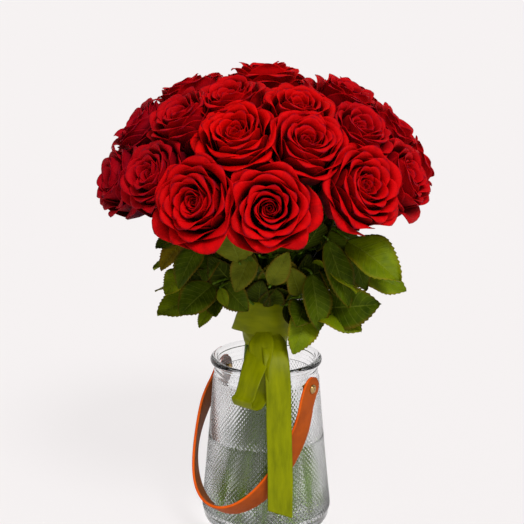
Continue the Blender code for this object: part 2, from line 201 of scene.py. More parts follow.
def smooth_route(corners, count):
    """Evenly spaced points on a curve through every corner."""
    corners = np.asarray(corners, float)
    before = 2 * corners[:1] - corners[1:2]
    after = 2 * corners[-1:] - corners[-2:-1]
    padded = np.concatenate([before, corners, after])
    dense = []
    for a, b, c, d in zip(padded, padded[1:], padded[2:], padded[3:]):
        t = np.linspace(0, 1, 24, endpoint=False)[:, None]
        dense.append(0.5 * (2 * b + (c - a) * t + (2 * a - 5 * b + 4 * c - d) * t**2
                            + (3 * b - 3 * c + d - a) * t**3))
    dense = np.concatenate(dense + [corners[-1:]])
    travelled = np.concatenate([[0], np.cumsum(np.linalg.norm(np.diff(dense, axis=0), axis=1))])
    places = np.linspace(0, travelled[-1], count)
    return np.stack([np.interp(places, travelled, column) for column in dense.T], 1)


def route_length(route):
    return float(np.linalg.norm(np.diff(route, axis=0), axis=1).sum())


def tangents(route):
    """Unit direction along a route at each of its points."""
    along = np.gradient(route, axis=0)
    return along / np.linalg.norm(along, axis=1)[:, None]


def away_from_axis(points):
    """Level unit vector from the vase's axis to each point of a grid."""
    level = points * (1, 1, 0)
    return level / np.linalg.norm(level, axis=2)[..., None]


class Shape:
    """Surfaces gathered for one mesh, with a value for each point where a material needs one."""

    def __init__(self, *values):
        self.points = []
        self.faces = []
        self.finishes = []
        self.values = {name: [] for name in values}
        self.count = 0

    def grid(self, points, closed=False, finish=0, **values):
        """Rows of points, joined into quads. A closed grid's rows are rings."""
        rows, columns = points.shape[:2]
        index = self.count + np.arange(rows * columns).reshape(rows, columns)
        if closed:
            index = np.concatenate([index, index[:, :1]], 1)
        quads = np.stack([index[:-1, :-1], index[:-1, 1:], index[1:, 1:], index[1:, :-1]], -1)
        quads = quads.reshape(-1, 4).tolist()
        self.faces += quads
        self.finishes += [finish] * len(quads)
        self.points.append(points.reshape(-1, 3))
        for name, store in self.values.items():
            value = np.broadcast_to(values.get(name, 0.0), (rows, columns))
            store.append(np.array(value, np.float32).ravel())
        self.count += rows * columns
        return index

    def cap(self, ring, flip=False, finish=0):
        """A face over one ring of point numbers."""
        ring = list(dict.fromkeys(int(i) for i in ring))
        self.faces.append(ring[::-1] if flip else ring)
        self.finishes.append(finish)

    def tube(self, route, radii, sides=10, finish=0, **values):
        """A round bar along a route, with a flat end at each end."""
        side, other = frames_along(route)
        angles = np.linspace(0, 2 * math.pi, sides, endpoint=False)
        radii = np.broadcast_to(radii, len(route))[:, None, None]
        ring = (side[:, None] * np.cos(angles)[None, :, None]
                + other[:, None] * np.sin(angles)[None, :, None])
        index = self.grid(route[:, None] + ring * radii, closed=True, finish=finish, **values)
        self.cap(index[0], flip=True, finish=finish)
        self.cap(index[-1], finish=finish)

    def make(self, name, materials, thickness=0.0):
        mesh = bpy.data.meshes.new(name)
        mesh.from_pydata(np.concatenate(self.points).tolist(), [], self.faces)
        for value, parts in self.values.items():
            attribute = mesh.attributes.new(value, "FLOAT", "POINT")
            attribute.data.foreach_set("value", np.concatenate(parts))
        for material in materials:
            mesh.materials.append(material)
        mesh.polygons.foreach_set("material_index", self.finishes)
        mesh.polygons.foreach_set("use_smooth", [True] * len(mesh.polygons))
        obj = bpy.data.objects.new(name, mesh)
        bpy.context.scene.collection.objects.link(obj)
        if thickness:
            shell = obj.modifiers.new("thickness", "SOLIDIFY")
            shell.thickness = thickness
            shell.offset = 0
        return obj


def frames_along(route):
    """Two directions across a route at each of its points, turning as little as they can."""
    tangent = tangents(route)
    start = np.cross(tangent[0], UP if abs(tangent[0][2]) < 0.9 else (1.0, 0, 0))
    sides = [unit(start)]
    for direction in tangent[1:]:
        side = sides[-1] - direction * (sides[-1] @ direction)
        sides.append(unit(side))
    sides = np.array(sides)
    return sides, np.cross(tangent, sides)


# ---------------------------------------------------------------- materials


class Finish:
    """A Principled material with short names for the nodes that feed it."""

    def __init__(self, name, **settings):
        self.material = bpy.data.materials.new(name)
        self.material.use_nodes = True
        self.nodes = self.material.node_tree.nodes
        self.links = self.material.node_tree.links
        self.shader = self.nodes["Principled BSDF"]
        for socket, value in settings.items():
            self.shader.inputs[socket.replace("_", " ")].default_value = value

    def node(self, kind, inputs=(), **settings):
        made = self.nodes.new(kind)
        for name, value in settings.items():
            setattr(made, name, value)
        for key, value in dict(inputs).items():
            self.feed(made.inputs[key], value)
        return made

    def feed(self, socket, value):
        if isinstance(value, bpy.types.NodeSocket):
            self.links.new(value, socket)
        else:
            socket.default_value = value

    def value(self, name):
        return self.node("ShaderNodeAttribute", attribute_name=name).outputs["Fac"]

    def place(self):
        return self.node("ShaderNodeTexCoord").outputs["Object"]

    def noise(self, scale, detail=3.0, rough=0.5, place=None):
        made = self.node("ShaderNodeTexNoise",
                         {"Vector": place or self.place(), "Scale": scale,
                          "Detail": detail, "Roughness": rough})
        return made.outputs["Fac"]

    def ramp(self, factor, stops):
        made = self.node("ShaderNodeValToRGB", {"Fac": factor})
        elements = made.color_ramp.elements
        elements[0].position, elements[0].color = stops[0][0], (*stops[0][1], 1)
        elements[1].position, elements[1].color = stops[-1][0], (*stops[-1][1], 1)
        for position, colour in stops[1:-1]:
            elements.new(position).color = (*colour, 1)
        return made.outputs["Color"]

    def math(self, operation, a, b=0.0, c=0.0):
        return self.node("ShaderNodeMath", {0: a, 1: b, 2: c}, operation=operation).outputs[0]

    def mix(self, factor, a, b, blend="MIX"):
        made = self.node("ShaderNodeMix", {0: factor, 6: a, 7: b},
                         data_type="RGBA", blend_type=blend)
        return made.outputs[2]

    def spread(self, factor, low, high):
        made = self.node("ShaderNodeMapRange", {0: factor, 3: low, 4: high})
        return made.outputs[0]

    def bump(self, height, distance, strength=1.0):
        made = self.node("ShaderNodeBump", {"Height": height, "Distance": distance,
                                            "Strength": strength})
        self.links.new(made.outputs[0], self.shader.inputs["Normal"])

    def colour(self, value):
        self.feed(self.shader.inputs["Base Color"], value)

    def roughness(self, value):
        self.feed(self.shader.inputs["Roughness"], value)


def petal_material():
    finish = Finish("petals", Specular_IOR_Level=0.05, Sheen_Weight=0.10, Sheen_Roughness=0.4,
                    Sheen_Tint=(1, 0.03, 0.03, 1))
    along = finish.value("along")
    across = finish.value("across")
    # Darker towards the base, down among the petals: painted shade; the dark edge is the petal's own
    shade = finish.ramp(along, [(0.40, (0.060, 0.0, 0.002)), (0.66, (0.36, 0.0004, 0.0006)),
                                (0.84, (0.72, 0.0006, 0.0006)), (0.95, (0.70, 0.001, 0.001)),
                                (1.0, (0.16, 0.001, 0.010))])
    stretched = finish.node("ShaderNodeCombineXYZ",
                            {0: finish.math("MULTIPLY", across, 16.0),
                             1: finish.math("MULTIPLY", along, 1.4),
                             2: finish.math("MULTIPLY", finish.value("order"), 31.0)})
    veins = finish.noise(2.2, 4.0, 0.6, stretched.outputs[0])
    blotch = finish.noise(95.0, 3.0, 0.55)
    mottled = finish.mix(finish.spread(veins, -0.35, 0.85), (1.0, 1.0, 1.0, 1),
                         (0.60, 0.45, 0.60, 1))
    shade = finish.mix(1.0, shade, mottled, "MULTIPLY")
    aged = finish.ramp(blotch, [(0.36, (0.55, 0.5, 0.75)), (0.56, (1.0, 1.0, 1.0))])
    shade = finish.mix(finish.spread(finish.value("order"), 0.12, 0.75), shade,
                       finish.mix(1.0, shade, aged, "MULTIPLY"))
    # Darker, purplish copy of the petal colour, mixed in for the flowers given painted shade
    dusky = finish.mix(1.0, shade, (0.48, 0.6, 1.0, 1), "MULTIPLY")
    dusky = finish.mix(1.0, dusky, (0.006, 0.0, 0.006, 1), "ADD")
    finish.colour(finish.mix(finish.value("dusk"), shade, dusky))
    finish.roughness(finish.spread(blotch, 0.52, 0.74))
    finish.bump(finish.math("ADD", veins, finish.math("MULTIPLY", blotch, 0.6)), 0.0005, 0.7)
    return finish.material


def stem_material():
    finish = Finish("stems", Specular_IOR_Level=0.2)
    place = finish.place()
    streak = finish.node("ShaderNodeMapping", {"Vector": place, "Scale": (300.0, 300.0, 26.0)})
    streaks = finish.noise(1.0, 4.0, 0.6, streak.outputs[0])
    blush = finish.noise(34.0, 3.0, 0.6)
    green = finish.ramp(streaks, [(0.3, (0.024, 0.055, 0.0005)), (0.7, (0.11, 0.20, 0.002))])
    finish.colour(finish.mix(finish.spread(blush, -0.6, 0.6), green, (0.11, 0.035, 0.012, 1)))
    finish.roughness(finish.spread(streaks, 0.38, 0.62))
    finish.bump(streaks, 0.0003, 0.6)
    return finish.material


def leaf_material(name, dark, light, edge, gloss):
    """Blade with a pale midrib and side veins, blotched green, browned at the edge."""
    finish = Finish(name, Specular_IOR_Level=gloss)
    along = finish.value("along")
    across = finish.value("across")
    away = finish.math("ABSOLUTE", across)
    slanted = finish.math("SUBTRACT", along, finish.math("MULTIPLY", away, 0.20))
    wave = finish.math("PINGPONG", finish.math("MULTIPLY", slanted, 9.0), 0.5)
    side_vein = finish.node("ShaderNodeMapRange", {0: wave, 1: 0.0, 2: 0.09, 3: 1.0, 4: 0.0})
    midrib = finish.node("ShaderNodeMapRange", {0: away, 1: 0.0, 2: 0.055, 3: 1.0, 4: 0.0})
    vein = finish.math("MAXIMUM", midrib.outputs[0],
                       finish.math("MULTIPLY", side_vein.outputs[0], 0.6))
    net = finish.node("ShaderNodeTexVoronoi", {"Vector": finish.place(), "Scale": 620.0},
                      feature="DISTANCE_TO_EDGE")
    blotch = finish.noise(60.0, 4.0, 0.6)
    body = finish.ramp(blotch, [(0.32, dark), (0.68, light)])
    body = finish.mix(finish.math("MULTIPLY", vein, 0.45), body, (0.22, 0.27, 0.03, 1))
    rim = finish.node("ShaderNodeMapRange", {0: away, 1: 0.80, 2: 1.0, 3: 0.0, 4: 1.0})
    stained = finish.math("MULTIPLY", rim.outputs[0], finish.spread(blotch, -0.2, 1.3))
    finish.colour(finish.mix(stained, body, (*edge, 1)))
    finish.roughness(finish.spread(blotch, 0.38, 0.62))
    height = finish.math("SUBTRACT", finish.math("MULTIPLY", net.outputs["Distance"], 0.35), vein)
    finish.bump(height, 0.0006, 0.8)
    return finish.material


def ribbon_material():
    finish = Finish("ribbon", Specular_IOR_Level=0.07, Sheen_Weight=0.08, Sheen_Roughness=0.3,
                    Sheen_Tint=(0.85, 0.9, 0.02, 1), Anisotropic=0.5)
    along = finish.value("along")
    across = finish.value("across")
    warp = finish.node("ShaderNodeCombineXYZ", {0: finish.math("MULTIPLY", across, 230.0),
                                                1: finish.math("MULTIPLY", along, 60.0)})
    threads = finish.noise(1.0, 2.0, 0.5, warp.outputs[0])
    cloud = finish.noise(42.0, 3.0, 0.5)
    body = finish.ramp(threads, [(0.25, (0.130, 0.150, 0.0002)), (0.75, (0.215, 0.240, 0.0005))])
    # Broad lighter and darker bands along the ribbon, standing in for its folds: painted light and
    # shade
    pull = finish.node("ShaderNodeCombineXYZ", {0: finish.math("MULTIPLY", across, 1.6),
                                                1: finish.math("MULTIPLY", along, 0.55)})
    fold_light_and_shade = finish.noise(1.0, 3.0, 0.6, pull.outputs[0])
    body = finish.mix(1.0, body, finish.ramp(fold_light_and_shade, [(0.30, (0.62, 0.66, 0.6)),
                                                     (0.62, (1.15, 1.12, 1.0))]), "MULTIPLY")
    selvedge = finish.node("ShaderNodeMapRange", {0: finish.math("ABSOLUTE", across),
                                                  1: 0.93, 2: 1.0, 3: 0.0, 4: 0.5})
    body = finish.mix(selvedge.outputs[0], body, (0.10, 0.12, 0.004, 1))
    body = finish.mix(finish.spread(cloud, -0.2, 0.5), body, (0.30, 0.325, 0.0008, 1))
    finish.colour(body)
    finish.roughness(finish.spread(threads, 0.32, 0.46))
    finish.bump(threads, 0.00012, 0.7)
    return finish.material


def leather_material():
    """Tanned face, darker flesh side and a bright cut edge."""
    finish = Finish("leather", Specular_IOR_Level=0.08)
    face = finish.value("face")
    grain = finish.node("ShaderNodeTexVoronoi", {"Vector": finish.place(), "Scale": 1500.0})
    pores = grain.outputs["Distance"]
    cloud = finish.noise(55.0, 5.0, 0.6)
    fibres = finish.noise(700.0, 4.0, 0.7)
    front = finish.ramp(cloud, [(0.3, (0.25, 0.042, 0.002)), (0.7, (0.40, 0.072, 0.004))])
    back = finish.ramp(fibres, [(0.3, (0.10, 0.026, 0.005)), (0.7, (0.20, 0.052, 0.010))])
    edge = finish.ramp(cloud, [(0.3, (0.62, 0.072, 0.002)), (0.7, (0.80, 0.12, 0.006))])
    outer = finish.node("ShaderNodeMapRange", {0: face, 1: 0.55, 2: 0.9, 3: 0.0, 4: 1.0})
    inner = finish.node("ShaderNodeMapRange", {0: face, 1: -0.55, 2: -0.9, 3: 0.0, 4: 1.0})
    body = finish.mix(outer.outputs[0], edge, front)
    finish.colour(finish.mix(inner.outputs[0], body, back))
    finish.roughness(finish.spread(cloud, 0.42, 0.66))
    finish.bump(finish.math("ADD", pores, finish.math("MULTIPLY", fibres, 0.5)), 0.0003, 0.6)
    return finish.material


def brass_material():
    finish = Finish("brass", Metallic=1.0)
    wear = finish.noise(420.0, 5.0, 0.65)
    finish.colour(finish.ramp(wear, [(0.32, (0.20, 0.10, 0.03)), (0.62, (0.62, 0.42, 0.16))]))
    finish.roughness(finish.spread(wear, 0.46, 0.20))
    finish.bump(wear, 0.0002, 0.5)
    return finish.material


def glass_material():
    finish = Finish("glass", Transmission_Weight=1.0, IOR=1.47)
    ripple = finish.noise(110.0, 3.0, 0.5)
    finish.colour(finish.ramp(ripple, [(0.3, (0.972, 0.988, 0.992)), (0.7, (0.99, 0.996, 0.998))]))
    finish.roughness(finish.spread(ripple, 0.0, 0.01))
    finish.bump(ripple, 0.0004, 0.25)
    return finish.material


def water_material():
    finish = Finish("water", Transmission_Weight=1.0, IOR=1.333)
    cloud = finish.noise(30.0, 2.0, 0.5)
    finish.colour(finish.ramp(cloud, [(0.3, (0.985, 0.995, 0.985)), (0.7, (0.995, 1.0, 0.995))]))
    finish.roughness(finish.spread(cloud, 0.0, 0.004))
    return finish.material


PETALS = petal_material()
STEMS = stem_material()
LEAF = leaf_material("foliage", (0.024, 0.044, 0.0006), (0.072, 0.108, 0.0012),
                     (0.12, 0.05, 0.003), 0.05)
# A lighter copy of the leaf for leaves in the light: painted light
LEAF_PAINTED_LIT = leaf_material("foliage_painted_lit", (0.085, 0.130, 0.0008), (0.175, 0.225, 0.0016),
                            (0.20, 0.14, 0.004), 0.06)
# A paler copy of the leaf for leaves lit from behind: painted light
LEAF_PAINTED_BACKLIT = leaf_material("foliage_painted_backlit", (0.070, 0.084, 0.002), (0.14, 0.155, 0.008),
                          (0.15, 0.07, 0.006), 0.05)
LEAF_OLD = leaf_material("foliage_old", (0.11, 0.062, 0.002), (0.26, 0.20, 0.004),
                         (0.16, 0.05, 0.006), 0.06)
# A dark copy of the leaf for leaves in shade inside the bouquet: painted shade
LEAF_PAINTED_SHADE = leaf_material("foliage_painted_shade", (0.010, 0.015, 0.001), (0.034, 0.050, 0.0015),
                          (0.05, 0.025, 0.003), 0.03)
RIBBON = ribbon_material()
LEATHER = leather_material()
BRASS = brass_material()
GLASS = glass_material()
WATER = water_material()


# ---------------------------------------------------------------- vase


def body_radius(height):
    """Outer radius of the glass between the heel and the neck."""
    neck_z = VASE_HEIGHT - NECK_DROP
    share = np.clip((neck_z - height) / (neck_z - HEEL_HEIGHT), 0, 1)
    return NECK_RADIUS + (BELLY_RADIUS - NECK_RADIUS) * share ** 1.15


def ring_grid(profile, steps):
    """A profile of (radius, height) turned round the vase's axis."""
    profile = np.asarray(profile, float)
    angles = np.linspace(0, 2 * math.pi, steps, endpoint=False)
    radius = profile[:, 0][:, None]
    return np.stack(np.broadcast_arrays(radius * np.cos(angles), radius * np.sin(angles),
                                        profile[:, 1][:, None]), -1)


def arc_profile(centre, radius, start, stop, count):
    angles = np.radians(np.linspace(start, stop, count))
    return [(centre[0] + radius * math.cos(a), centre[1] + radius * math.sin(a)) for a in angles]


def make_vase():
    """Outside with its bosses, rolled rim, collar rings and plain inside, one closed skin."""
    steps = BOSS_COUNT * BOSS_STEPS
    neck_z = VASE_HEIGHT - NECK_DROP
    rim_z = VASE_HEIGHT - RIM_BEAD
    bead_r = NECK_RADIUS + RIM_BEAD * 0.1
    low = HEEL_HEIGHT * 0.9
    high = neck_z - 0.006
    rows = int(round((high - low) / BOSS_PITCH)) * BOSS_STEPS
    heights = np.linspace(low, high, rows + 1)
    base = [(0.0005, 0.0), (FOOT_RADIUS * 0.55, 0.0), (FOOT_RADIUS * 0.93, 0.0)]
    base += [(FOOT_RADIUS + (BELLY_RADIUS - FOOT_RADIUS) * math.sin(a),
              HEEL_HEIGHT * (1 - math.cos(a))) for a in np.radians(np.linspace(8, 84, 9))]
    outside = [(float(body_radius(z)), z) for z in heights]
    collar = []
    for z in np.linspace(neck_z - 0.0055, rim_z - 0.0022, 20):
        swell = 0.0004 * math.exp(-((z - neck_z + 0.002) / 0.0011) ** 2)
        swell += 0.0003 * math.exp(-((z - neck_z - 0.0025) / 0.0011) ** 2)
        collar.append((NECK_RADIUS - 0.0002 + swell, z))
    bead = arc_profile((bead_r, rim_z), RIM_BEAD, -50, 190, 18)
    inner_z = np.linspace(rim_z - 0.004, GLASS_FLOOR + 0.008, 14)
    inside = [(float(body_radius(z)) - GLASS_WALL, z) for z in inner_z]
    inside += [(BELLY_RADIUS - GLASS_WALL - 0.002, GLASS_FLOOR + 0.004),
               (FOOT_RADIUS - GLASS_WALL, GLASS_FLOOR), (FOOT_RADIUS * 0.5, GLASS_FLOOR - 0.0006),
               (0.0005, GLASS_FLOOR - 0.0008)]
    body = Shape()
    points = ring_grid(base + outside, steps)
    turn = np.arange(steps) / BOSS_STEPS * 2 * math.pi
    climb = np.arange(rows + 1) / BOSS_STEPS * 2 * math.pi
    lattice = [np.cos((turn[None, :] + lean * climb[:, None]) / 2) ** 2 for lean in (1, -1)]
    relief = BOSS_HEIGHT * lattice[0] * lattice[1]
    fade = smooth_step((heights - low) / 0.004) * smooth_step((high - heights) / 0.002)
    relief = relief * fade[:, None]
    shell = points[len(base):]
    shell += away_from_axis(shell) * relief[..., None]
    wide = body.grid(points, closed=True)
    body.cap(wide[0], flip=False)
    top = ring_grid(collar + bead + inside, RIM_STEPS)
    ribs = np.cos(np.arange(RIM_STEPS) / RIM_STEPS * 2 * math.pi * RIM_RIBS)
    bead_rows = slice(len(collar) + 8, len(collar) + 18)
    top[bead_rows] += away_from_axis(top[bead_rows]) * (ribs * RIM_RIB_HEIGHT)[None, :, None]
    narrow = body.grid(top, closed=True)
    body.cap(narrow[-1], flip=True)
    bridge(body, wide[-1], narrow[0])
    vase = body.make("vase_glass", [GLASS])
    vase.visible_shadow = False
    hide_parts("vase")
    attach(vase, "arrangement")


def make_water():
    """Water up to the fill line, its edge drawn a little way up the glass."""
    low = GLASS_FLOOR + 0.008
    sides = [(float(body_radius(z)) - GLASS_WALL + WATER_BITE, z)
             for z in np.linspace(low, WATER_LEVEL, 14)]
    profile = [(0.0005, GLASS_FLOOR - 0.0009), (FOOT_RADIUS * 0.5, GLASS_FLOOR - 0.0007),
               (FOOT_RADIUS - GLASS_WALL, GLASS_FLOOR - 0.0001),
               (BELLY_RADIUS - GLASS_WALL - 0.0019, GLASS_FLOOR + 0.004)] + sides
    edge = sides[-1][0]
    profile += [(edge - 0.0003, WATER_LEVEL + 0.0002), (edge - 0.0012, WATER_LEVEL - 0.0008),
                (edge - 0.0035, WATER_LEVEL - 0.0015), (edge * 0.5, WATER_LEVEL - 0.0016),
                (0.0005, WATER_LEVEL - 0.0016)]
    water = Shape()
    index = water.grid(ring_grid(profile, 96), closed=True)
    water.cap(index[0])
    water.cap(index[-1], flip=True)
    body = water.make("vase_water", [WATER])
    body.visible_shadow = False
    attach(body, "arrangement")


def bridge(shape, lower, upper):
    """Joins two rings whose point counts are whole multiples of the same number."""
    a = [int(i) for i in lower[:-1]]
    b = [int(i) for i in upper[:-1]]
    i = j = 0
    while i < len(a) or j < len(b):
        if j >= len(b) or (i < len(a) and (i + 1) * len(b) <= (j + 1) * len(a)):
            shape.faces.append([a[i % len(a)], a[(i + 1) % len(a)], b[j % len(b)]])
            i += 1
        else:
            shape.faces.append([a[i % len(a)], b[(j + 1) % len(b)], b[j % len(b)]])
            j += 1
        shape.finishes.append(0)


# ---------------------------------------------------------------- strap and rivets


STRAP_SIDE = heading(STRAP_AZIMUTH + math.pi / 2)


def rivet_radius():
    return float(body_radius(RIVET_Z)) + RIVET_STANDOFF + STRAP_THICKNESS / 2


def strap_route():
    """(across, down) along the middle of the leather, from the right rivet to the left one."""
    wide = rivet_radius() + STRAP_BULGE
    flat = RIVET_HEAD + RIVET_MARGIN
    shoulder = [(rivet_radius(), 0), (rivet_radius(), flat)]
    for share in (0.3, 0.6):
        shoulder.append((wide - STRAP_BULGE * math.cos(share * math.pi / 2) ** 2,
                         flat + (STRAP_SHOULDER - flat) * share))
    bottom = [(wide * math.cos(a), STRAP_SHOULDER + (STRAP_REACH - STRAP_SHOULDER) * math.sin(a))
              for a in np.linspace(0, math.pi, 25)]
    return shoulder + bottom + [(-across, down) for across, down in shoulder[::-1]]


def make_strap():
    """Leather band with rounded edges and a round tab past each rivet."""
    tab = STRAP_WIDTH / 2
    route = strap_route()
    top = [(route[0][0], -tab * share) for share in (0.995, 0.96, 0.88, 0.74, 0.55, 0.3)]
    corners = top + route + [(-across, down) for across, down in top[::-1]]
    path = smooth_route(corners, 260)
    tangent = tangents(path)
    outward = np.stack([tangent[:, 1], -tangent[:, 0]], 1)
    above = np.clip(-path[:, 1] / tab, 0, 0.999)
    width = STRAP_WIDTH / 2 * np.sqrt(1 - above**2)
    half = STRAP_THICKNESS / 2
    angle = np.linspace(0, 2 * math.pi, 40, endpoint=False)
    round_x = np.sign(np.cos(angle)) * np.abs(np.cos(angle)) ** 0.28
    round_y = np.sign(np.sin(angle)) * np.abs(np.sin(angle)) ** 0.55
    out = heading(STRAP_AZIMUTH)
    up = -(out * math.sin(STRAP_TILT) - UP * math.cos(STRAP_TILT))
    forward = np.cross(STRAP_SIDE, up)

    def to_world(across, down, deep):
        return (across[..., None] * STRAP_SIDE - down[..., None] * up + deep[..., None] * forward
                + UP * RIVET_Z)

    t = np.linspace(0, 1, len(path))
    twist = sum(lean * np.sin(np.pi * np.clip((t - begin) / 0.46, 0, 1)) ** 2
                for lean, begin in zip(STRAP_TWISTS, (0.04, 0.5)))
    wide = width[:, None] * round_x[None, :]
    lift = round_y[None, :] * half
    turned_lift = lift * np.cos(twist)[:, None] + wide * np.sin(twist)[:, None]
    across = path[:, 0][:, None] + outward[:, 0][:, None] * turned_lift
    down = path[:, 1][:, None] + outward[:, 1][:, None] * turned_lift
    deep = wide * np.cos(twist)[:, None] - lift * np.sin(twist)[:, None]
    sign = np.where(outward @ np.array([1.0, 0]) * np.sign(path[:, 0] + 1e-9) + outward[:, 1] > 0,
                    1.0, -1.0)
    face = np.round(round_y, 3)[None, :] * sign[:, None]
    strap = Shape("face")
    index = strap.grid(to_world(across, down, deep), closed=True, face=face)
    strap.cap(index[0], flip=True)
    strap.cap(index[-1])
    leather = strap.make("strap_leather", [LEATHER])
    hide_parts("leather_strap")
    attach(leather, "handle")


def make_rivets():
    """Domed brass heads with a turned edge, and the flange inside the glass."""
    inner_wall = float(body_radius(RIVET_Z)) - GLASS_WALL
    flange = math.sqrt(inner_wall**2 - RIVET_HEAD**2) - GAP - 0.0002
    head = rivet_radius() + STRAP_THICKNESS / 2 + GAP
    r = RIVET_HEAD
    profile = [(0.0002, head + RIVET_HEAD_HEIGHT)]
    profile += [(r * 0.82 * math.sin(a), head + RIVET_HEAD_HEIGHT * (0.42 + 0.58 * math.cos(a)))
                for a in np.linspace(0.2, 1.45, 8)]
    profile += [(r * 0.86, head + 0.0006), (r * 0.93, head + 0.0009), (r, head + 0.0005),
                (r, head), (RIVET_SHANK, head), (RIVET_SHANK, flange), (r, flange),
                (r, flange - 0.0006), (r * 0.9, flange - 0.001), (0.0002, flange - 0.001)]
    profile = np.array(profile)
    across = np.cross(STRAP_SIDE, UP)
    angles = np.linspace(0, 2 * math.pi, 32, endpoint=False)
    for name, sign in (("rivet_right", 1), ("rivet_left", -1)):
        ring = (np.cos(angles)[:, None] * across + np.sin(angles)[:, None] * UP)
        points = (profile[:, 1][:, None, None] * STRAP_SIDE * sign
                  + profile[:, 0][:, None, None] * ring[None] + UP * RIVET_Z)
        rivet = Shape()
        index = rivet.grid(points, closed=True)
        rivet.cap(index[0], flip=True)
        rivet.cap(index[-1])
        stud = rivet.make(f"{name}_brass", [BRASS])
        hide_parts(name)
        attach(stud, "arrangement")


# ---------------------------------------------------------------- flowers and stems


def flower_tips():
    """ring, azimuth, bud tip, outward direction of every flower."""
    flowers = []
    for ring, places in FLOWERS.items():
        for azimuth, polar in places:
            level = heading(math.radians(azimuth)) * math.sin(math.radians(polar))
            ray = level + UP * math.cos(math.radians(polar))
            tip = ray / math.hypot(math.hypot(ray[0], ray[1]) / DOME_RADIUS, ray[2] / DOME_RISE)
            out = unit(tip / (DOME_RADIUS**2, DOME_RADIUS**2, DOME_RISE**2))
            flowers.append((ring, math.radians(azimuth), DOME_CENTRE + tip, out))
    return flowers


def waist_radii():
    """Radius of each ring of stems at the tie, packed from the middle out."""
    pitch = 2 * STEM_RADIUS + WAIST_LANE
    inner = pitch / 2 / math.sin(math.pi / len(FLOWERS["inner"])) * 0.98
    return {"inner": inner, "middle": inner + pitch, "outer": inner + 2 * pitch}


def bundle_radius():
    return waist_radii()["outer"] + STEM_RADIUS


def stem_route(ring, number, tip, out):
    """Straight from the cut end through the tie, then one curve out to the calyx."""
    radius = waist_radii()[ring]
    first = math.radians(min(a for a, _ in FLOWERS[ring]))
    turn = first + 2 * math.pi * number / len(FLOWERS[ring]) - STEM_TWIST
    waist = heading(turn) * radius + UP * WAIST_Z
    swing = math.sqrt(STEM_SPREAD[ring] ** 2 - radius**2)
    along = heading(turn + math.pi / 2) * swing + UP * (WAIST_Z - STEM_END_Z)
    base = tip - out * BLOOM_DEPTH
    neck = base - out * CALYX_HEIGHT
    span = np.linalg.norm(neck - waist)
    upper = hermite(waist, unit(along) * span * 0.9, neck, out * span * 0.8, 16)
    lower = np.linspace(waist - along, waist, 19)[:-1]
    return np.concatenate([lower, upper, [base]])


def petal(order, spin, rng, size, depth):
    """One petal, from the rolled bud at order 0 to the guard petals at 1, about +Z."""
    across = np.linspace(-1, 1, 15)[None, :]
    along = np.linspace(0, 1, 18)[:, None] ** 0.85
    half = np.interp(order, [0, 0.15, 0.5, 1], [1.9, 1.35, 0.98, 0.84]) * rng.uniform(0.86, 1.14)
    point = np.interp(order, [0, 0.4, 1], [0.10, 0.20, 0.40])
    point *= rng.uniform(0.75, 1.25)
    along = along * (1 - point * np.abs(across) ** 1.2 - 0.08 * np.abs(across) ** 5)
    rim_r = size * np.interp(order, [0, 0.1, 0.3, 0.5, 0.75, 1],
                             [0.035, 0.12, 0.30, 0.47, 0.70, 0.92]) * rng.uniform(0.94, 1.06)
    rim_z = depth * np.interp(order, [0, 0.12, 0.3, 0.5, 0.75, 1],
                              [-0.17, -0.10, -0.02, -0.015, -0.10, -0.29])
    rim_z += rng.uniform(-0.0030, 0.0030) * min(1, order * 3)
    corners = np.array([
        (0.0025 + 0.0035 * order, -depth * 0.97),
        (size * np.interp(order, [0, 0.3, 1], [0.13, 0.40, 0.86]),
         -depth * np.interp(order, [0, 1], [0.72, 0.80])),
        (size * np.interp(order, [0, 0.3, 0.6, 1], [0.06, 0.30, 0.56, 0.78]),
         -depth * np.interp(order, [0, 0.3, 1], [0.25, 0.17, 0.40])),
        (rim_r, rim_z)])
    lip = np.interp(order, [0, 0.2, 0.5, 1], [0.06, 0.13, 0.20, 0.27])
    w = np.clip(along / (1 - lip), 0, 1)
    weights = ((1 - w) ** 3, 3 * w * (1 - w) ** 2, 3 * w * w * (1 - w), w**3)
    radius = sum(weight * corner[0] for weight, corner in zip(weights, corners))
    height = sum(weight * corner[1] for weight, corner in zip(weights, corners))
    lean = math.atan2(*(corners[3] - corners[2])[::-1])
    length = size * np.interp(order, [0, 0.2, 0.5, 1], [0.05, 0.13, 0.21, 0.31])
    turn = math.radians(np.interp(order, [0, 0.2, 0.5, 1], [10, 60, 105, 125]))
    turn *= rng.uniform(0.65, 1.3)
    length *= rng.uniform(0.85, 1.25)
    curl = np.clip((along - (1 - lip)) / lip, 0, 1.2)
    for step in np.linspace(0, 1, 12, endpoint=False) + 1 / 24:
        angle = lean - turn * step * curl * (0.75 + 0.25 * step * curl)
        radius = radius + np.cos(angle) * length * curl / 12
        height = height + np.sin(angle) * length * curl / 12
    spread = np.interp(along, [0, 0.12, 0.35, 0.7, 1.0], [0.45, 0.72, 0.95, 1.0, 0.90])
    theta = spin + across * half * spread
    overlap = size * np.interp(order, [0, 0.3, 1], [0.02, 0.045, 0.05])
    radius = radius + overlap * across * smooth_step(along / 0.5)
    phase = rng.uniform(0, 2 * math.pi, 3)
    pace = rng.uniform((3, 6, 3), (5, 9, 6))
    ripple = size * np.interp(order, [0, 0.3, 1], [0.004, 0.018, 0.048])
    ripple = ripple * smooth_step((along - 0.45) / 0.55)
    height = height + ripple * (np.sin(across * pace[0] + phase[0]) * 0.5
                                + np.sin(across * pace[1] + phase[1]) * 0.35)
    radius = radius + ripple * 0.6 * np.sin(across * pace[2] + phase[2])
    flat = np.interp(order, [0, 0.4, 1], [0.0, 0.15, 0.28])
    bow = np.maximum(np.cos(across * half * spread), 0.55)
    radius = radius * (1 - flat + flat / bow)
    height = height - size * flat * 0.10 * across**2 * smooth_step(along)
    points = np.stack([radius * np.cos(theta), radius * np.sin(theta), height], -1)
    return points, np.broadcast_to(across, points.shape[:2]), along


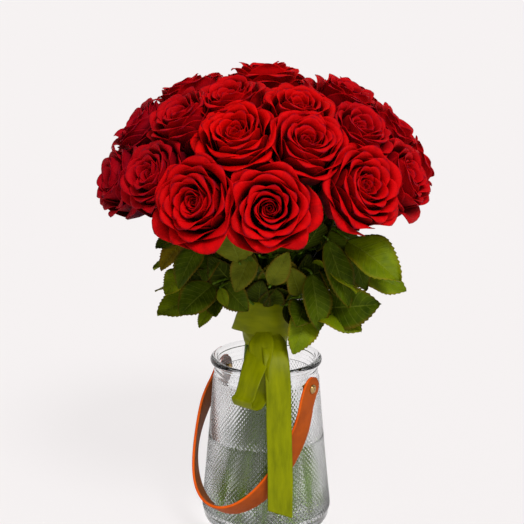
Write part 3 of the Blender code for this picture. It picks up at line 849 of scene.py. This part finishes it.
def give_way(points, centre, size, others):
    """Petals pressed back where a neighbouring flower needs the room."""
    for other, other_size in others:
        gap = np.linalg.norm(other - centre)
        if gap > NEIGHBOUR_REACH:
            continue
        axis = (other - centre) / gap
        share = size**2 / (size**2 + other_size**2)
        over = (points - centre) @ axis - gap * share + PRESS_START
        held = PRESS_SOFTNESS * (1 - np.exp(-np.maximum(over, 0) / PRESS_SOFTNESS))
        push = np.where(over > 0, over - held, 0)
        points = points - push[..., None] * axis
    return points


def make_roses(flowers):
    centres = [tip - out * BLOOM_DEPTH * BLOOM_FACE for _, _, tip, out in flowers]
    sizes = [BLOOM_WIDTHS.get(i + 1, BLOOM_WIDTH) / BLOOM_SPREAD for i in range(len(flowers))]
    for number, (_, _, tip, out) in enumerate(flowers, 1):
        rng = np.random.default_rng(100 + number)
        size = sizes[number - 1]
        side = unit(np.cross(UP, out) if abs(out[2]) < 0.95 else (1.0, 0, 0))
        basis = np.stack([side, np.cross(out, side), out])
        others = [pair for i, pair in enumerate(zip(centres, sizes), 1) if i != number]
        start = rng.uniform(0, 2 * math.pi)
        rose = Shape("across", "along", "order", "dusk")
        tip = tip - out * BLOOM_SINK
        # This flower's painted shade, or a random tone where none is listed
        dusk = BLOOM_SHADE_AND_TONE.get(number, rng.uniform(0.1, 0.6))
        for k in range(PETAL_COUNT):
            order = k / (PETAL_COUNT - 1)
            spin = start + k * GOLDEN_ANGLE + rng.uniform(-0.25, 0.25)
            points, across, along = petal(order, spin, rng, size, BLOOM_DEPTH * 0.97)
            points = give_way(points @ basis + tip, centres[number - 1], size, others)
            rose.grid(points, across=across, along=along, order=order, dusk=dusk)
        bloom = rose.make(f"rose_{number:02d}", [PETALS], thickness=PETAL_THICKNESS)
        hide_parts(f"rose_bloom_{number:02d}")
        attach(bloom, "arrangement")


def add_sepals(shape, base, out, rng):
    """Swollen hip under the flower with five sepals folded back from it."""
    side = unit(np.cross(out, (0.3, 0.9, 0.2)))
    other = np.cross(out, side)
    profile = [(0.0029, -0.007), (0.0036, -0.0055), (0.0052, -0.0035), (0.0060, -0.0005),
               (0.0058, 0.0022), (0.0050, 0.0042)]
    angles = np.linspace(0, 2 * math.pi, 12, endpoint=False)
    ring = np.cos(angles)[:, None] * side + np.sin(angles)[:, None] * other
    points = np.array([base + out * up + ring * radius for radius, up in profile])
    index = shape.grid(points, closed=True, across=0.5, along=0.5)
    shape.cap(index[0], flip=True)
    shape.cap(index[-1])
    first = rng.uniform(0, 2 * math.pi)
    for k in range(5):
        angle = first + k * 2 * math.pi / 5 + rng.uniform(-0.2, 0.2)
        away = math.cos(angle) * side + math.sin(angle) * other
        tangent = np.cross(out, away)
        length = rng.uniform(0.021, 0.028)
        fall = rng.uniform(0.35, 1.0)
        start = base + out * 0.0015 + away * 0.0048
        end = start + away * length * (0.85 - 0.4 * fall) + out * length * (0.25 - 0.75 * fall)
        route = hermite(start, (away * 0.9 + out * 0.5) * length, end,
                        (away * 0.4 - out * 0.9) * length, 12)
        t = np.linspace(0, 1, 13)
        width = 0.0032 * (1 - t) ** 0.7 * (0.75 + 0.5 * np.sin(math.pi * t)) + 0.00015
        across = np.linspace(-1, 1, 5)
        points = route[:, None] + tangent * (width[:, None] * across)[..., None]
        points = points + out * (0.0010 * across**2)[None, :, None]
        lower = points - away * 0.0003 - out * 0.0003
        both = np.concatenate([points, lower[:, ::-1]], 1)
        index = shape.grid(both, closed=True, across=0.4, along=0.5)
        shape.cap(index[0], flip=True)
        shape.cap(index[-1])


def add_thorns(shape, route, rng):
    """A few hooked thorns on the bare part of a stem."""
    side, other = frames_along(route)
    for place in np.linspace(0.28, 0.82, 5):
        i = int(place * (len(route) - 1)) + int(rng.integers(-1, 2))
        angle = rng.uniform(0, 2 * math.pi)
        away = math.cos(angle) * side[i] + math.sin(angle) * other[i]
        tangent = unit(route[min(i + 1, len(route) - 1)] - route[i - 1])
        root = route[i] + away * STEM_RADIUS * 0.75
        tip = root + away * 0.0042 - tangent * 0.0016
        spine = hermite(root, away * 0.003, tip, (away - tangent) * 0.003, 4)
        shape.tube(spine, np.array([1.5, 1.05, 0.65, 0.35, 0.08]) * 0.001, sides=6,
                   across=0.3, along=0.5)


def make_stems(flowers):
    order = {ring: sorted(a for a, _ in places) for ring, places in FLOWERS.items()}
    routes = []
    for number, (ring, azimuth, tip, out) in enumerate(flowers, 1):
        rng = np.random.default_rng(300 + number)
        place = order[ring].index(round(math.degrees(azimuth)))
        route = stem_route(ring, place, tip, out)
        routes.append(route)
        radii = np.full(len(route), STEM_RADIUS)
        radii *= 1 + 0.05 * np.sin(np.linspace(0, 9, len(route)) + number)
        shape = Shape("across", "along")
        shape.tube(route, radii, sides=12, across=0.4, along=0.5)
        add_thorns(shape, route, rng)
        add_sepals(shape, tip - out * BLOOM_DEPTH, out, rng)
        stem = shape.make(f"stem_{number:02d}", [STEMS])
        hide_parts(f"rose_stem_{number:02d}")
        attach(stem, "arrangement")
    return routes


# ---------------------------------------------------------------- ribbon


def ribbon_sheet(name, points, length):
    """Ribbon over a grid of points that runs along it row by row."""
    rows, columns = points.shape[:2]
    along = np.linspace(0, 1, rows) * length / RIBBON_WIDTH
    shape = Shape("across", "along")
    shape.grid(points, across=np.linspace(-1, 1, columns)[None, :], along=along[:, None])
    return shape.make(name, [RIBBON], thickness=RIBBON_THICKNESS * 0.6)


def ribbon_strip(name, middle, side, half, wander, slant=0.0):
    """A strip of ribbon about a middle line, side giving the way across it at each point."""
    count = len(middle)
    across = np.linspace(-1, 1, 17)
    t = np.linspace(0, 1, count)
    wide = np.broadcast_to(half, count)
    points = middle[:, None] + side[:, None] * (wide[:, None] * across)[..., None]
    if slant:
        reach = smooth_step((t - 0.80) / 0.20)[:, None] * across[None, :] * slant / 2
        points = points - UP * reach[..., None]
    normal = np.cross(tangents(middle), side)
    cup = wander * (np.sin(t * 11 + 0.7)[:, None] * (across**2 - 0.4)[None, :]
                    + 0.5 * np.sin(t[:, None] * 23 + across[None, :] * 2.2))
    points = points + normal[:, None] * cup[..., None]
    return ribbon_sheet(name, points, route_length(middle))


def rim_outer():
    return NECK_RADIUS + RIM_BEAD * 1.1


def plane_route(corners, azimuth, count):
    """A route of (out, up) corners in the upright plane at an azimuth."""
    flat = smooth_route(corners, count)
    return flat[:, :1] * heading(azimuth) + flat[:, 1:] * UP


def make_cuff():
    """The ribbon wound round the stems, its cut end folded to a point at the front left."""
    inner = bundle_radius() + BAND_SLACK
    top = WAIST_Z + BAND_HEIGHT * 0.6
    low = top - BAND_HEIGHT
    turns = 1.2
    count = 130
    t = np.linspace(0, 1, count)
    across = np.linspace(-1, 1, 15)
    radius = inner + 0.0004 + 0.0018 * t + 0.0055 * smooth_step((t - 0.94) / 0.06)
    rise = (top + low) / 2
    points = np.empty((count, 15, 3))
    for j, share in enumerate(across):
        last = math.radians(-64 + 15 * share)
        angle = last + (1 - t) * turns * 2 * math.pi
        bell = radius * (1.02 - 0.09 * share) + 0.0005 * np.sin(angle * 5 + share * 2)
        points[:, j, 0] = np.sin(angle) * bell
        points[:, j, 1] = -np.cos(angle) * bell
        points[:, j, 2] = rise + BAND_HEIGHT / 2 * share - 0.0022 * np.sin(angle)
    length = route_length(points[:, 7])
    cuff = ribbon_sheet("ribbon_cuff", points, length)
    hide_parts("ribbon_bow")
    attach(cuff, "arrangement")


def make_wrap():
    """The ribbon's lower turn, drawn in tight under the cuff where the ends leave it."""
    count = 90
    t = np.linspace(0, 1, count)
    across = np.linspace(-1, 1, 9)
    low = WAIST_Z - 0.027
    points = np.empty((count, 9, 3))
    for j, share in enumerate(across):
        angle = math.radians(40) + t * 1.08 * 2 * math.pi
        bell = bundle_radius() + 0.0018 + 0.0012 * t + 0.0016 * share
        bell = bell + 0.0006 * np.sin(angle * 7 + share * 3)
        points[:, j, 0] = np.sin(angle) * bell
        points[:, j, 1] = -np.cos(angle) * bell
        points[:, j, 2] = low + 0.0085 + 0.0085 * share + 0.002 * np.sin(angle + 0.6)
    length = route_length(points[:, 4])
    wrap = ribbon_sheet("ribbon_wrap", points, length)
    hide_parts("ribbon_bow")
    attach(wrap, "arrangement")


def make_loop():
    """The bow's hanging loop: down the front, round an open bottom and back up under the cuff."""
    outer = bundle_radius() + BAND_SLACK + RIBBON_THICKNESS
    near = outer - RIBBON_THICKNESS * 0.5
    clear = rim_outer() + RIM_CLEARANCE
    bottom = WAIST_Z - LOOP_DROP
    corners = np.array([
        (near, 0.0, WAIST_Z - 0.0125), (clear * 0.75, 0.004, WAIST_Z - 0.024),
        (clear, 0.013, VASE_HEIGHT + 0.001), (clear + 0.002, 0.021, VASE_HEIGHT - 0.016),
        (clear + 0.002, 0.026, bottom + 0.009), (clear + 0.002, 0.022, bottom + 0.001),
        (clear + 0.002, 0.010, bottom), (clear + 0.002, 0.001, bottom + 0.009),
        (clear + 0.001, 0.0, VASE_HEIGHT - 0.008), (clear, 0.0, VASE_HEIGHT + 0.006),
        (clear * 0.75, 0.0, WAIST_Z - 0.016), (near, 0.0, WAIST_Z - 0.008)])
    flat = smooth_route(corners, 110)
    middle = (flat[:, :1] * heading(LOOP_LEAN) + flat[:, 1:2] * heading(LOOP_OPEN)
              + flat[:, 2:] * UP)
    t = np.linspace(0, 1, 110)
    half = RIBBON_WIDTH / 2 * (1 - 0.45 * smooth_step((0.10 - t) / 0.10)
                               - 0.45 * smooth_step((t - 0.88) / 0.12))
    turn = smooth_step((t - 0.10) / 0.25) * smooth_step((0.94 - t) / 0.22)
    side = np.array([np.cross(heading(LOOP_LEAN + (LOOP_OPEN - LOOP_LEAN) * share), UP)
                     for share in turn])
    loop = ribbon_strip("ribbon_loop", middle, side, half, 0.0006)
    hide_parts("ribbon_bow")
    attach(loop, "arrangement")


def make_tail():
    """The loose end, hanging in front of the strap to its slanted cut."""
    near = bundle_radius() + BAND_SLACK + RIBBON_THICKNESS + GAP * 2
    clear = rim_outer() + RIM_CLEARANCE
    bottom = WAIST_Z - TAIL_DROP
    corners = [(near - 0.0015, WAIST_Z - 0.008), (near + 0.004, WAIST_Z - 0.013),
               (clear * 0.72, WAIST_Z - 0.0165), (clear - 0.002, VASE_HEIGHT + 0.015),
               (clear + 0.011, VASE_HEIGHT - 0.012), (TAIL_FRONT - 0.003, VASE_HEIGHT * 0.70),
               (TAIL_FRONT + 0.004, bottom + 0.04), (TAIL_FRONT + 0.003, bottom)]
    middle = plane_route(corners, TAIL_AZIMUTH, 140)
    side = np.cross(heading(TAIL_AZIMUTH), UP)
    t = np.linspace(0, 1, 140)
    half = RIBBON_WIDTH / 2 * (1 - 0.35 * smooth_step((0.08 - t) / 0.08))
    tail = ribbon_strip("ribbon_end", middle, np.tile(side, (140, 1)), half, 0.0005,
                        slant=-TAIL_SLANT)
    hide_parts("ribbon_tail")
    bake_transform(tail)


# ---------------------------------------------------------------- foliage


FOLIAGE = [LEAF, LEAF_PAINTED_LIT, LEAF_PAINTED_BACKLIT, LEAF_OLD, STEMS, LEAF_PAINTED_SHADE]
# The lighter, backlit and dark leaf finishes are painted light and painted shade
PLAIN, PAINTED_LIT, BACKLIT, BROWNED, STALK, PAINTED_SHADE = range(len(FOLIAGE))  # places in FOLIAGE


def leaf_blade(shape, base, tip, normal, width, rng, finish):
    """A toothed, veined blade from base to tip, facing along normal."""
    span = tip - base
    length = np.linalg.norm(span)
    along_dir = span / length
    normal = unit(normal - along_dir * (normal @ along_dir))
    across_dir = np.cross(normal, along_dir)
    rows = LEAF_TEETH * 2 + 1
    t = np.linspace(0, 1, rows)[:, None]
    u = np.linspace(-1, 1, 15)[None, :]
    outline = width / 2 * np.sin(math.pi * t**0.82) ** 0.72
    outline = outline * (1 - 0.25 * t**6)
    tooth = (np.arange(rows) % 2)[:, None] * LEAF_TOOTH * np.sin(math.pi * t) ** 0.5
    reach = np.abs(u) * outline + tooth * (np.abs(u) > 0.99)
    ripple = width * 0.045 * np.sin(t * rng.uniform(5, 9) + rng.uniform(0, 6)) * u**2
    ripple = ripple + width * 0.03 * np.sin(u * 3 + t * rng.uniform(8, 12)) * np.abs(u)
    vein = 0.00035 * np.cos((t - 0.20 * np.abs(u)) * 9 * 2 * math.pi) * (1 - np.abs(u)) * 1.5
    lift = LEAF_FOLD * reach + ripple + vein
    lift = lift - LEAF_ARCH * length * (t - 0.5) ** 2 * 2 * rng.uniform(0.6, 1.4)
    place_t = t + 0.03 * tooth / LEAF_TOOTH * (np.abs(u) > 0.99)
    points = (base + along_dir * (place_t * length)[..., None]
              + across_dir * (np.sign(u) * reach)[..., None] + normal * lift[..., None])
    values = {"across": np.broadcast_to(u, points.shape[:2]),
              "along": np.broadcast_to(t, points.shape[:2])}
    shape.grid(points, finish=finish, **values)


def add_stalk(shape, route):
    """The stalk of a leaf or a spray, thinner towards the blade."""
    radii = np.linspace(1.25, 0.75, len(route)) * PETIOLE_RADIUS
    shape.tube(route, radii, sides=7, finish=STALK, across=0.3, along=0.5)


def add_spray(shape, stalk, leaves, rng):
    """A leaf stalk and its blades, each blade (base, tip, normal, width, finish)."""
    add_stalk(shape, stalk)
    for base, tip, normal, width, finish in leaves:
        leaf_blade(shape, base, tip, normal, width, rng, finish)


def finish_spray(shape, name, nodes=()):
    spray = shape.make(name, FOLIAGE, thickness=LEAF_THICKNESS)
    if nodes:
        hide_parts(*nodes)
    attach(spray, "arrangement")


def make_leaf_sprays():
    """The four big sprays: a leaflet at the end of the stalk and a pair behind it."""
    for number, (name, numbers) in enumerate(LEAF_SPRAYS.items()):
        azimuth, rise, reach, lift, hang, length = numbers
        rng = np.random.default_rng(500 + number)
        away = heading(math.radians(azimuth))
        side = np.cross(away, UP)
        start = away * (bundle_radius() + LEAF_STANDOFF + rise * LEAF_FLARE)
        start = start + UP * (WAIST_Z + rise)
        end = start + away * reach + UP * lift
        stalk = hermite(start, (away + UP * 0.5) * reach, end, (away - UP * 0.35) * reach, 12)
        middle = stalk[6]
        # The end leaflet takes the lighter copy of the leaf: painted light
        places = [(end - away * 0.004, away, 1.0, PAINTED_LIT),
                  (middle, unit(away * 0.45 + side), 0.8, PLAIN),
                  (middle, unit(away * 0.45 - side), 0.8, PLAIN)]
        leaves = []
        for base, direction, scale, finish in places:
            lie = unit(direction - UP * math.tan(math.radians(hang)))
            normal = away * 0.35 + UP * 0.8 + np.array((0, -0.6, 0)) * (azimuth < 120)
            leaves.append((base, base + lie * length * scale, normal,
                           length * scale * LEAFLET_WIDTH, finish))
        shape = Shape("across", "along")
        add_spray(shape, stalk, leaves, rng)
        finish_spray(shape, f"{name}_leaves", (name,))


def nearest_on(routes, place, low, high):
    """The nearest point of any stem between two heights."""
    best = None
    for route in routes:
        for point in route:
            if low < point[2] < high:
                gap = np.linalg.norm(point - place)
                if best is None or gap < best[0]:
                    best = (gap, point)
    return best[1]


# Leaves of the collar on the bow's side: base, tip, width, finish. A scratch script worked out 9 of
# the 26 rows' places from spots in the photo, 10 more are its figures moved by hand, and 7 are not
# from it: see report.md
# Rows with the lighter or backlit finish are painted light; the dark rows set behind the rest are
# painted shade
FRONT_LEAVES = [
    ((0.079, -0.045, 0.311), (0.128, -0.075, 0.278), 0.046, PAINTED_LIT),
    ((0.055, -0.040, 0.239), (0.106, -0.085, 0.257), 0.043, PLAIN),
    ((0.041, -0.040, 0.241), (0.027, -0.066, 0.201), 0.032, PAINTED_LIT),
    ((0.055, -0.042, 0.319), (0.082, -0.050, 0.278), 0.028, PLAIN),
    ((0.079, -0.040, 0.305), (0.097, -0.050, 0.260), 0.032, PLAIN),
    ((0.059, -0.055, 0.312), (0.080, -0.070, 0.249), 0.030, PLAIN),
    ((0.044, -0.050, 0.277), (0.052, -0.065, 0.224), 0.030, PLAIN),
    ((0.004, -0.055, 0.267), (0.021, -0.065, 0.303), 0.022, BACKLIT),
    ((0.033, -0.045, 0.254), (0.023, -0.055, 0.285), 0.022, BACKLIT),
    ((-0.052, -0.050, 0.267), (-0.083, -0.075, 0.244), 0.036, PLAIN),
    ((-0.051, -0.040, 0.246), (-0.066, -0.050, 0.223), 0.015, PAINTED_LIT),
    ((-0.043, -0.038, 0.264), (-0.018, -0.052, 0.240), 0.028, PLAIN),
    ((-0.045, -0.050, 0.263), (-0.038, -0.055, 0.246), 0.012, PAINTED_LIT),
    ((-0.080, -0.028, 0.308), (-0.103, -0.045, 0.280), 0.024, BROWNED),
    ((-0.084, -0.018, 0.309), (-0.108, -0.030, 0.298), 0.022, PLAIN),
    ((-0.078, -0.040, 0.280), (-0.098, -0.055, 0.258), 0.026, PAINTED_LIT),
    ((-0.064, -0.045, 0.309), (-0.086, -0.060, 0.266), 0.028, PLAIN),
    ((-0.050, -0.030, 0.300), (-0.062, -0.040, 0.266), 0.026, PLAIN),
    ((-0.026, -0.055, 0.290), (-0.040, -0.075, 0.338), 0.036, BACKLIT),
    ((-0.014, -0.050, 0.300), (-0.030, -0.060, 0.262), 0.026, BACKLIT),
    ((-0.030, -0.020, 0.245), (-0.076, -0.035, 0.277), 0.036, PAINTED_SHADE),
    ((-0.038, -0.010, 0.280), (-0.088, -0.022, 0.262), 0.036, PAINTED_SHADE),
    ((-0.022, -0.030, 0.250), (-0.056, -0.044, 0.292), 0.034, PAINTED_SHADE),
    ((0.018, -0.022, 0.238), (0.052, -0.036, 0.216), 0.032, PAINTED_SHADE),
    ((0.030, -0.020, 0.262), (0.070, -0.036, 0.282), 0.036, PAINTED_SHADE),
    ((0.062, -0.020, 0.278), (0.104, -0.032, 0.262), 0.036, PAINTED_SHADE),
]


# Dark leaves up between the flowers, filling gaps that hold only shade: painted shade. Tier by tier:
# numbers, degrees apart, the bases' radius and height, and the range of the tips' radius and height
UPPER_TIERS = (
    (range(1, 21), 18, 0.052, 0.330, (0.088, 0.100), (0.362, 0.374)),
    (range(21, 35), 26, 0.026, 0.345, (0.056, 0.066), (0.384, 0.394)),
)


def leaf_on_stem(routes, name, base, tip, width, finish, rng, normal):
    """One leaf whose stalk grows out of the nearest stem."""
    root = nearest_on(routes, base - UP * 0.02, base[2] - 0.045, base[2] + 0.01)
    reach = np.linalg.norm(base - root)
    stalk = hermite(root, UP * reach * 0.6, base, (tip - base) * 0.5, 8)
    shape = Shape("across", "along")
    add_stalk(shape, stalk)
    leaf_blade(shape, base, tip, normal, width, rng, finish)
    finish_spray(shape, name)


def make_collar(routes):
    """The single leaves: the front ones as listed, then the sides, the inside and the upper tiers."""
    for number, (base, tip, width, finish) in enumerate(FRONT_LEAVES, 1):
        rng = np.random.default_rng(700 + number)
        base, tip = np.array(base), np.array(tip)
        normal = unit((base + tip) * (1, 1, 0)) + np.array((0, -0.7, 0.45))
        leaf_on_stem(routes, f"leaf_front_{number:02d}", base, tip, width, finish, rng, normal)
    rng = np.random.default_rng(800)
    for number in range(1, 19):
        azimuth = math.radians(64 + (number - 1) * 232 / 17 + rng.uniform(-5, 5))
        turn = azimuth + rng.uniform(-0.25, 0.25)
        high = 0.262 + 0.044 * (number % 3) / 2 + rng.uniform(-0.005, 0.005)
        base = heading(azimuth) * rng.uniform(0.044, 0.060) + UP * high
        drop = rng.uniform(0.014, 0.034)
        tip = heading(turn) * rng.uniform(0.096, 0.118) + UP * (high - drop)
        normal = heading(azimuth) * 0.9 + UP * rng.uniform(0.6, 1.0)
        # Some side leaves take the lighter or the backlit copy: painted light
        leaf_on_stem(routes, f"leaf_side_{number:02d}", base, tip, rng.uniform(0.036, 0.046),
                     (PLAIN, PAINTED_LIT, PLAIN, BACKLIT)[number % 4], rng, normal)
    for number in range(1, 49):
        row = number % 3
        azimuth = math.radians(number * 7.5 + rng.uniform(-5, 5))
        base = heading(azimuth) * (0.024, 0.034, 0.056)[row] + UP * (0.238, 0.258, 0.298)[row]
        tip = heading(azimuth + rng.uniform(-0.35, 0.35)) * (0.050, 0.062, 0.090)[row]
        tip = tip + UP * ((0.266, 0.298, 0.336)[row] + rng.uniform(-0.006, 0.006))
        normal = heading(azimuth) + UP * rng.uniform(-0.5, 0.2)
        # Most inside leaves take the dark copy, painted shade; some take the backlit copy, painted
        # light
        leaf_on_stem(routes, f"leaf_inner_{number:02d}", base, tip,
                     rng.uniform(0.026, 0.030) + 0.006 * (row > 0),
                     (PAINTED_SHADE, PLAIN, PAINTED_SHADE, PAINTED_SHADE, BACKLIT)[number % 5], rng, normal)
    for numbers, apart, near, low, reach, high in UPPER_TIERS:
        for number in numbers:
            azimuth = math.radians(number * apart + rng.uniform(-4, 4))
            base = heading(azimuth) * near + UP * low
            tip = heading(azimuth + rng.uniform(-0.3, 0.3)) * rng.uniform(*reach)
            tip = tip + UP * rng.uniform(*high)
            # The dark copy of the leaf: painted shade
            leaf_on_stem(routes, f"leaf_upper_{number:02d}", base, tip, 0.034, PAINTED_SHADE, rng,
                         heading(azimuth) - UP * 0.3)


# ---------------------------------------------------------------- stage


def make_stage():
    scene = bpy.context.scene
    mesh = bpy.data.meshes.new("floor")
    edge = FLOOR_EDGE
    mesh.from_pydata([(-edge, -edge, 0), (edge, -edge, 0), (edge, edge, 0), (-edge, edge, 0)],
                     [], [(0, 1, 2, 3)])
    floor = bpy.data.objects.new("floor", mesh)
    floor.location.z = -0.0004
    scene.collection.objects.link(floor)
    paper = Finish("paper", Roughness=0.9, Specular_IOR_Level=0.0, Emission_Strength=0.875,
                   Emission_Color=BACKDROP)
    paper.colour((0.12, 0.117, 0.117, 1))
    mesh.materials.append(paper.material)

    world = bpy.data.worlds.new("studio")
    world.use_nodes = True
    nodes, links = world.node_tree.nodes, world.node_tree.links
    ways = nodes.new("ShaderNodeSeparateXYZ")
    links.new(nodes.new("ShaderNodeTexCoord").outputs["Generated"], ways.inputs[0])
    sideways = nodes.new("ShaderNodeMath")
    sideways.operation = "ABSOLUTE"
    links.new(ways.outputs[0], sideways.inputs[0])
    shade = nodes.new("ShaderNodeValToRGB")
    links.new(sideways.outputs[0], shade.inputs[0])
    first, last = shade.color_ramp.elements
    first.position, first.color = 0.40, (0.50, 0.495, 0.49, 1)
    last.position, last.color = 0.85, (0.12, 0.12, 0.122, 1)
    height = nodes.new("ShaderNodeMapRange")
    links.new(ways.outputs[2], height.inputs[0])
    height.inputs[1].default_value, height.inputs[2].default_value = 0.10, 0.24
    sky = nodes.new("ShaderNodeMix")
    sky.data_type = "RGBA"
    links.new(height.outputs[0], sky.inputs[0])
    sky.inputs[6].default_value = BACKDROP
    links.new(shade.outputs[0], sky.inputs[7])
    links.new(sky.outputs[2], nodes["Background"].inputs[0])
    scene.world = world
    for name, place, strength, spread in (("key", (0.9, -2.0, 2.6), 2.3, 18),
                                          ("fill", (1.8, -1.6, 1.5), 0.3, 50)):
        lamp = bpy.data.lights.new(name, "SUN")
        lamp.energy = strength
        lamp.angle = math.radians(spread)
        holder = bpy.data.objects.new(name, lamp)
        holder.rotation_euler = (-Vector(place)).to_track_quat("-Z", "Y").to_euler()
        scene.collection.objects.link(holder)

    camera = bpy.data.cameras.new("camera")
    camera.sensor_width = SENSOR_WIDTH
    camera.lens = SENSOR_WIDTH * FOCAL_LENGTH / PICTURE_WIDTH
    camera.clip_start = 0.05
    camera.clip_end = 200.0
    holder = bpy.data.objects.new("camera", camera)
    back = Vector((0, -math.cos(CAMERA_PITCH), math.sin(CAMERA_PITCH)))
    holder.location = Vector(CAMERA_TARGET) + CAMERA_DISTANCE * back
    holder.rotation_euler = (math.pi / 2 - CAMERA_PITCH, 0, 0)
    scene.collection.objects.link(holder)
    scene.camera = holder
    scene.view_settings.view_transform = "Standard"


make_stage()
make_vase()
make_water()
make_strap()
make_rivets()
FLOWER_TIPS = flower_tips()
STEM_ROUTES = make_stems(FLOWER_TIPS)
make_roses(FLOWER_TIPS)
make_cuff()
make_wrap()
make_loop()
make_tail()
make_leaf_sprays()
make_collar(STEM_ROUTES)
